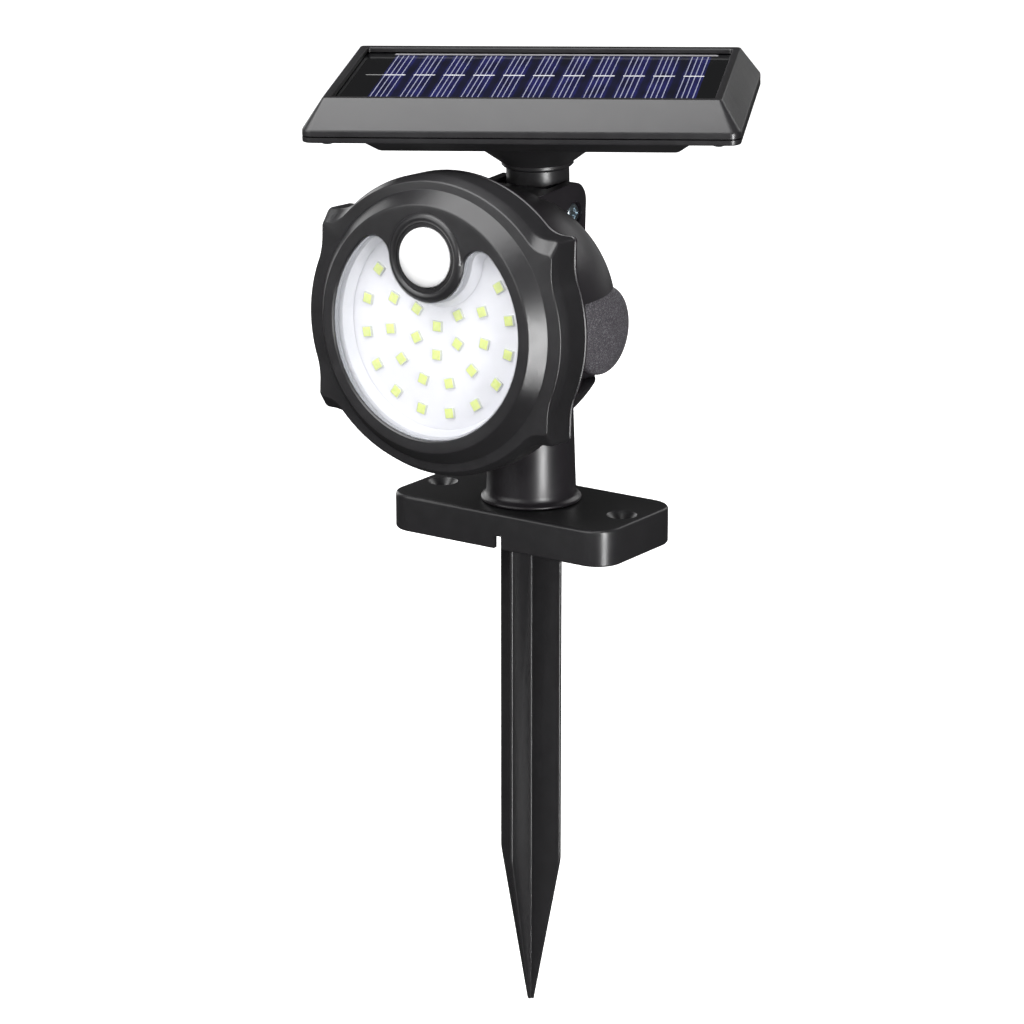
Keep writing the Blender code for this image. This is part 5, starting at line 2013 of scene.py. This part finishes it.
@dataclass
class SolarPanel:
    """The solar panel: bevelled frame, printed cells, tray and its screws."""

    finishes: Finishes
    top: float = 0.0455
    half_length: float = 0.0697
    half_width: float = 0.0462
    bevel_width: float = 0.0063
    bevel_height: float = 0.0094
    rim_width: float = 0.0025
    rim_thickness: float = 0.0017
    frame_height: float = 0.0114
    corner: float = 0.0035
    frame_wall: float = 0.0022
    flange_bottom: float = 0.0134
    tray_bottom: float = 0.0208
    tray_step: float = 0.0125
    tray_chamfer: float = 0.009
    tray_wall: float = 0.002
    block: float = 0.0068
    neck_shoulder: float = 0.0150
    pedestal_radii: tuple[float, float] = (0.0233, 0.0118)
    screw_length: float = 0.0075

    def plan(self, inset: float) -> Outline:
        """The panel's plan, inset from its widest line."""
        corner = max(self.corner - inset, 0.0012)
        return rounded_rectangle(self.half_length - inset, self.half_width - inset, corner, 8)

    def screw_places(self) -> list[tuple[str, tuple[float, float]]]:
        """Each panel screw's name and centre."""
        x = self.half_length - self.frame_wall - self.block / 2 - 0.0018
        y = self.half_width - self.frame_wall - self.block / 2 - 0.0018
        return [
            (f"panel_screw_{name_y}_{name_x}", (side_x * x, side_y * y))
            for name_x, side_x in (("left", -1), ("right", 1))
            for name_y, side_y in (("front", -1), ("back", 1))
        ]

    def build(self) -> None:
        """Builds the frame, the laminate, the tray and the screws."""
        self.frame_piece()
        self.laminate()
        self.tray()
        self.screws()

    def frame_piece(self) -> None:
        """The bevelled frame, as one closed skin through its whole section, with screw blocks."""
        low = self.top - self.bevel_height
        bottom = self.top - self.frame_height
        slope = self.bevel_width / self.bevel_height
        roof = self.top - self.rim_thickness
        window = self.bevel_width + self.rim_width
        roof_inset = self.bevel_width - self.rim_thickness * slope + self.frame_wall
        rings = stacked(
            Axis.Z,
            (self.plan(self.frame_wall), bottom),
            (self.plan(0.0002), bottom),
            (self.plan(0.0), bottom + 0.0002),
            (self.plan(0.0), low),
            (self.plan(self.bevel_width), self.top),
            (self.plan(window), self.top),
            (self.plan(window), roof),
            (self.plan(min(roof_inset, window + 0.0006)), roof),
            (self.plan(self.frame_wall), low),
        )
        radii = (0.0, 0.0, 0.0005, 0.0004, 0.0010, 0.0, 0.0, 0.0)
        shape = loft(rounded_rings(rings, radii, 4), tube=True)
        seat = self.top - self.flange_bottom - GAP
        steps = []
        for _, (x, y) in self.screw_places():
            half = self.block / 2
            block = box((x - half, y - half, bottom + 0.0015), (x + half, y + half, low + 0.0054))
            steps.append((Boolean.JOIN, block))
            hole = rod(Axis.Z, SCREW_HOLE, 0.0, seat + self.screw_length + GAP, (x, y), 24)
            steps.append((Boolean.CUT, hole))
        PANEL.piece(
            "panel_frame_detail",
            worked(shape, *steps),
            self.finishes.black,
            Slot.BLACK,
            ["panel_frame"],
            crease=24.0,
        )

    def laminate(self) -> None:
        """The printed cells under their clear, glossy cover."""
        high = self.top - self.rim_thickness - GAP
        inset = self.bevel_width + self.rim_width - 0.001
        rings = stacked(
            Axis.Z,
            (self.plan(inset), high - 0.0016),
            (self.plan(inset), high - 0.0002),
            (self.plan(inset + 0.0002), high),
        )
        shape = loft(rings)
        layer = shape.loops.layers.uv.new("plan")
        for face in shape.faces:
            for loop in face.loops:
                loop[layer].uv = (loop.vert.co.x * 1000, loop.vert.co.y * 1000)
        PANEL.piece(
            "solar_laminate_detail", shape, self.finishes.cells, Slot.CELLS, ["solar_laminate"]
        )

    def tray(self) -> None:
        """The back cover: flange, chamfered pan and the conical pedestal."""
        flange_top = self.top - self.frame_height - GAP
        flange_low = self.top - self.flange_bottom
        bottom = self.top - self.tray_bottom
        rings = stacked(
            Axis.Z,
            (self.plan(0.0), flange_top),
            (self.plan(0.0), flange_low),
            (self.plan(self.tray_step), flange_low),
            (self.plan(self.tray_step + self.tray_chamfer), bottom),
            (self.plan(self.tray_step + self.tray_chamfer + 0.004), bottom),
        )
        body = loft(rounded_rings(rings, (0.0005, 0.0004, 0.0009), 4))
        wide, narrow = self.pedestal_radii
        pedestal = [
            (0.0, bottom + 0.0005),
            (wide + 0.0002, bottom + 0.0005),
            (wide, bottom),
            (narrow, self.neck_shoulder + 0.0013),
            (narrow, self.neck_shoulder + 0.0004),
            (narrow - 0.0004, self.neck_shoulder),
            (0.0, self.neck_shoulder),
        ]
        mouth = self.plan(self.tray_step + self.tray_wall)
        pan = self.plan(self.tray_step + self.tray_chamfer + self.tray_wall * 0.5)
        hollow = stack(
            Axis.Z,
            (mouth, flange_top + 0.001),
            (mouth, flange_low),
            (pan, bottom + self.tray_wall),
        )
        steps = [
            (Boolean.JOIN, turned(Axis.Z, pedestal, steps=84)),
            (Boolean.CUT, hollow),
            (Boolean.CUT, rod(Axis.Z, 0.0075, 0.0, 0.1, steps=56)),
        ]
        for _, centre in self.screw_places():
            steps.append((Boolean.CUT, rod(Axis.Z, SCREW_HOLE, 0.0, 0.1, centre, 24)))
        PANEL.piece(
            "panel_tray_detail",
            worked(body, *steps),
            self.finishes.black,
            Slot.BLACK,
            ["panel_tray"],
            crease=26.0,
        )

    def screws(self) -> None:
        """The four screws up through the tray's flange."""
        screw = CrossScrew(0.0025, 0.0016, 0.0012, self.screw_length)
        seat = self.top - self.flange_bottom - GAP
        for node, centre in self.screw_places():
            shape = screw.shape(Axis.Z, seat, 1, centre)
            PANEL.piece(f"{node}_detail", shape, self.finishes.zinc, Slot.ZINC, [node])


@dataclass
class HiddenParts:
    """The inner parts whose CAD shape is right and that only need their finish."""

    finishes: Finishes

    def dress(self) -> None:
        """Gives each carried-over node its material."""
        wanted = {
            self.finishes.zinc: (
                "motion_sensor",
                "battery_contact_top",
                "battery_contact_bottom",
                "pivot_bolt",
                "pivot_nut",
                "swivel_clip",
            ),
            self.finishes.grip_rubber: ("head_seal", "panel_seal"),
            self.finishes.board: ("control_board", "mode_switch"),
            self.finishes.battery: ("battery_cell",),
            self.finishes.deep_black: ("battery_holder",),
            self.finishes.nylon: ("pivot_washer_left", "pivot_washer_right"),
        }
        for material, names in wanted.items():
            for name in names:
                node = frame["nodes"][name]
                for slot in node.material_slots:
                    slot.material = material
                LOG.info("%s: finished with %s", name, material.name)


# ---------------------------------------------------------------- studio
@dataclass(frozen=True)
class Softbox:
    """A rectangular soft light, by the way it stands from the object, its distance and power."""

    name: str
    direction: tuple[float, float, float]
    distance: float
    size: tuple[float, float]
    power: float

    def hang(self, target: Sequence[float]) -> None:
        """Hangs the light so that it faces the target.

        Args:
            target: The point that it faces.
        """
        data = bpy.data.lights.new(self.name, "AREA")
        data.shape = "RECTANGLE"
        data.size, data.size_y = self.size
        data.energy = self.power
        made = bpy.data.objects.new(self.name, data)
        bpy.context.scene.collection.objects.link(made)
        towards = Vector(self.direction).normalized()
        made.location = Vector(target) + towards * self.distance
        made.rotation_euler = towards.to_track_quat("Z", "Y").to_euler()
        LOG.info("%s: %.1f W", self.name, self.power)


SOFTBOXES = (
    Softbox("overhead", (-0.08, -0.40, 0.86), 1.2, (1.30, 0.85), 21.0),
    Softbox("fill_front_left", (-0.25, -0.86, 0.42), 1.5, (1.4, 1.2), 18.0),
    Softbox("side_right", (0.86, -0.42, -0.20), 1.2, (0.26, 0.9), 32.0),
    Softbox("low_rim", (-0.15, 0.98, 0.0), 1.6, (1.0, 0.22), 0.35),
    Softbox("back_left", (-0.93, 0.36, 0.22), 1.7, (1.0, 1.3), 8.0),
    Softbox("back_above", (0.10, 0.95, 0.55), 1.7, (0.9, 0.9), 4.5),
)


@dataclass
class Studio:
    """The pale sweep, the soft lights and the camera."""

    finishes: Finishes
    floor: float = -0.1665
    sweep_radius: float = 3.6
    sweep_height: float = 3.4
    sweep_curve: float = 1.2
    surround: float = 0.04
    azimuth: float = 34.718
    elevation: float = 16.087
    lens: float = 153.63
    sensor_width: float = 36.0
    camera_at: tuple[float, float, float] = (0.7892, -1.1502, 0.4096)
    target: tuple[float, float, float] = (0.0, 0.0, 0.05)

    def build(self) -> None:
        """Builds the sweep, the lights, the world and the camera."""
        self.sweep()
        for light in SOFTBOXES:
            light.hang(self.target)
        self.world()
        self.camera()

    def sweep(self) -> None:
        """A round floor that curves up into a wall."""
        shape = bmesh.new()
        edge = (self.sweep_radius, self.floor)
        top = (self.sweep_radius, self.sweep_height)
        profile = soft_profile([(0.0, self.floor), edge, top], self.sweep_curve, 10)
        start = [shape.verts.new((r, 0.0, z)) for r, z in profile]
        edges = [shape.edges.new(pair) for pair in zip(start, start[1:])]
        bmesh.ops.spin(
            shape,
            geom=start + edges,
            cent=(0.0, 0.0, 0.0),
            axis=(0.0, 0.0, 1.0),
            dvec=(0.0, 0.0, 0.0),
            angle=math.tau,
            steps=72,
            use_merge=True,
            use_duplicate=False,
        )
        bmesh.ops.remove_doubles(shape, verts=shape.verts, dist=1e-6)
        bmesh.ops.recalc_face_normals(shape, faces=shape.faces)
        bmesh.ops.reverse_faces(shape, faces=shape.faces)
        mesh = bpy.data.meshes.new("studio_sweep")
        shape.to_mesh(mesh)
        shape.free()
        mesh.shade_smooth()
        mesh.materials.append(self.finishes.paper)
        made = bpy.data.objects.new("studio_sweep", mesh)
        bpy.context.scene.collection.objects.link(made)
        made.visible_glossy = False
        made.visible_diffuse = False
        made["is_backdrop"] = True

    def world(self) -> None:
        """A dim even surround."""
        world = bpy.data.worlds.new("studio_world")
        bpy.context.scene.world = world
        world.use_nodes = True
        background = world.node_tree.nodes["Background"]
        background.inputs["Color"].default_value = (1.0, 1.0, 1.0, 1.0)
        background.inputs["Strength"].default_value = self.surround

    def camera(self) -> None:
        """The camera, at the object's usual three-quarter view."""
        azimuth, elevation = math.radians(self.azimuth), math.radians(self.elevation)
        right = Vector((math.cos(azimuth), math.sin(azimuth), 0.0))
        back = Vector(
            (
                math.sin(azimuth) * math.cos(elevation),
                -math.cos(azimuth) * math.cos(elevation),
                math.sin(elevation),
            )
        )
        up = back.cross(right)
        data = bpy.data.cameras.new("camera")
        data.sensor_width = self.sensor_width
        data.lens = self.lens
        data.clip_end = 20.0
        made = bpy.data.objects.new("camera", data)
        bpy.context.scene.collection.objects.link(made)
        made.matrix_world = Matrix.Translation(self.camera_at) @ Matrix(
            (right, up, back)
        ).transposed().to_4x4()
        bpy.context.scene.camera = made
        bpy.context.scene.view_settings.view_transform = "Standard"


def write_sizes() -> None:
    """Works out the CAD box and the visual model's box as plain lists, without writing them."""
    boxes = {"cad": CAD_BOX, "visual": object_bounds()}
    plain = {name: [list(corner) for corner in pair] for name, pair in boxes.items()}


def main() -> None:
    """Builds the sub-assemblies in order, then the studio."""
    logging.basicConfig(level=logging.INFO, format="%(message)s")
    finishes = Finishes()
    BasePart(finishes).build()
    LampHead(finishes, LampWindow()).build()
    PanelNeck(finishes).build()
    SolarPanel(finishes).build()
    HiddenParts(finishes).dress()
    Studio(finishes).build()
    write_sizes()


if __name__ == "__main__":
    main()
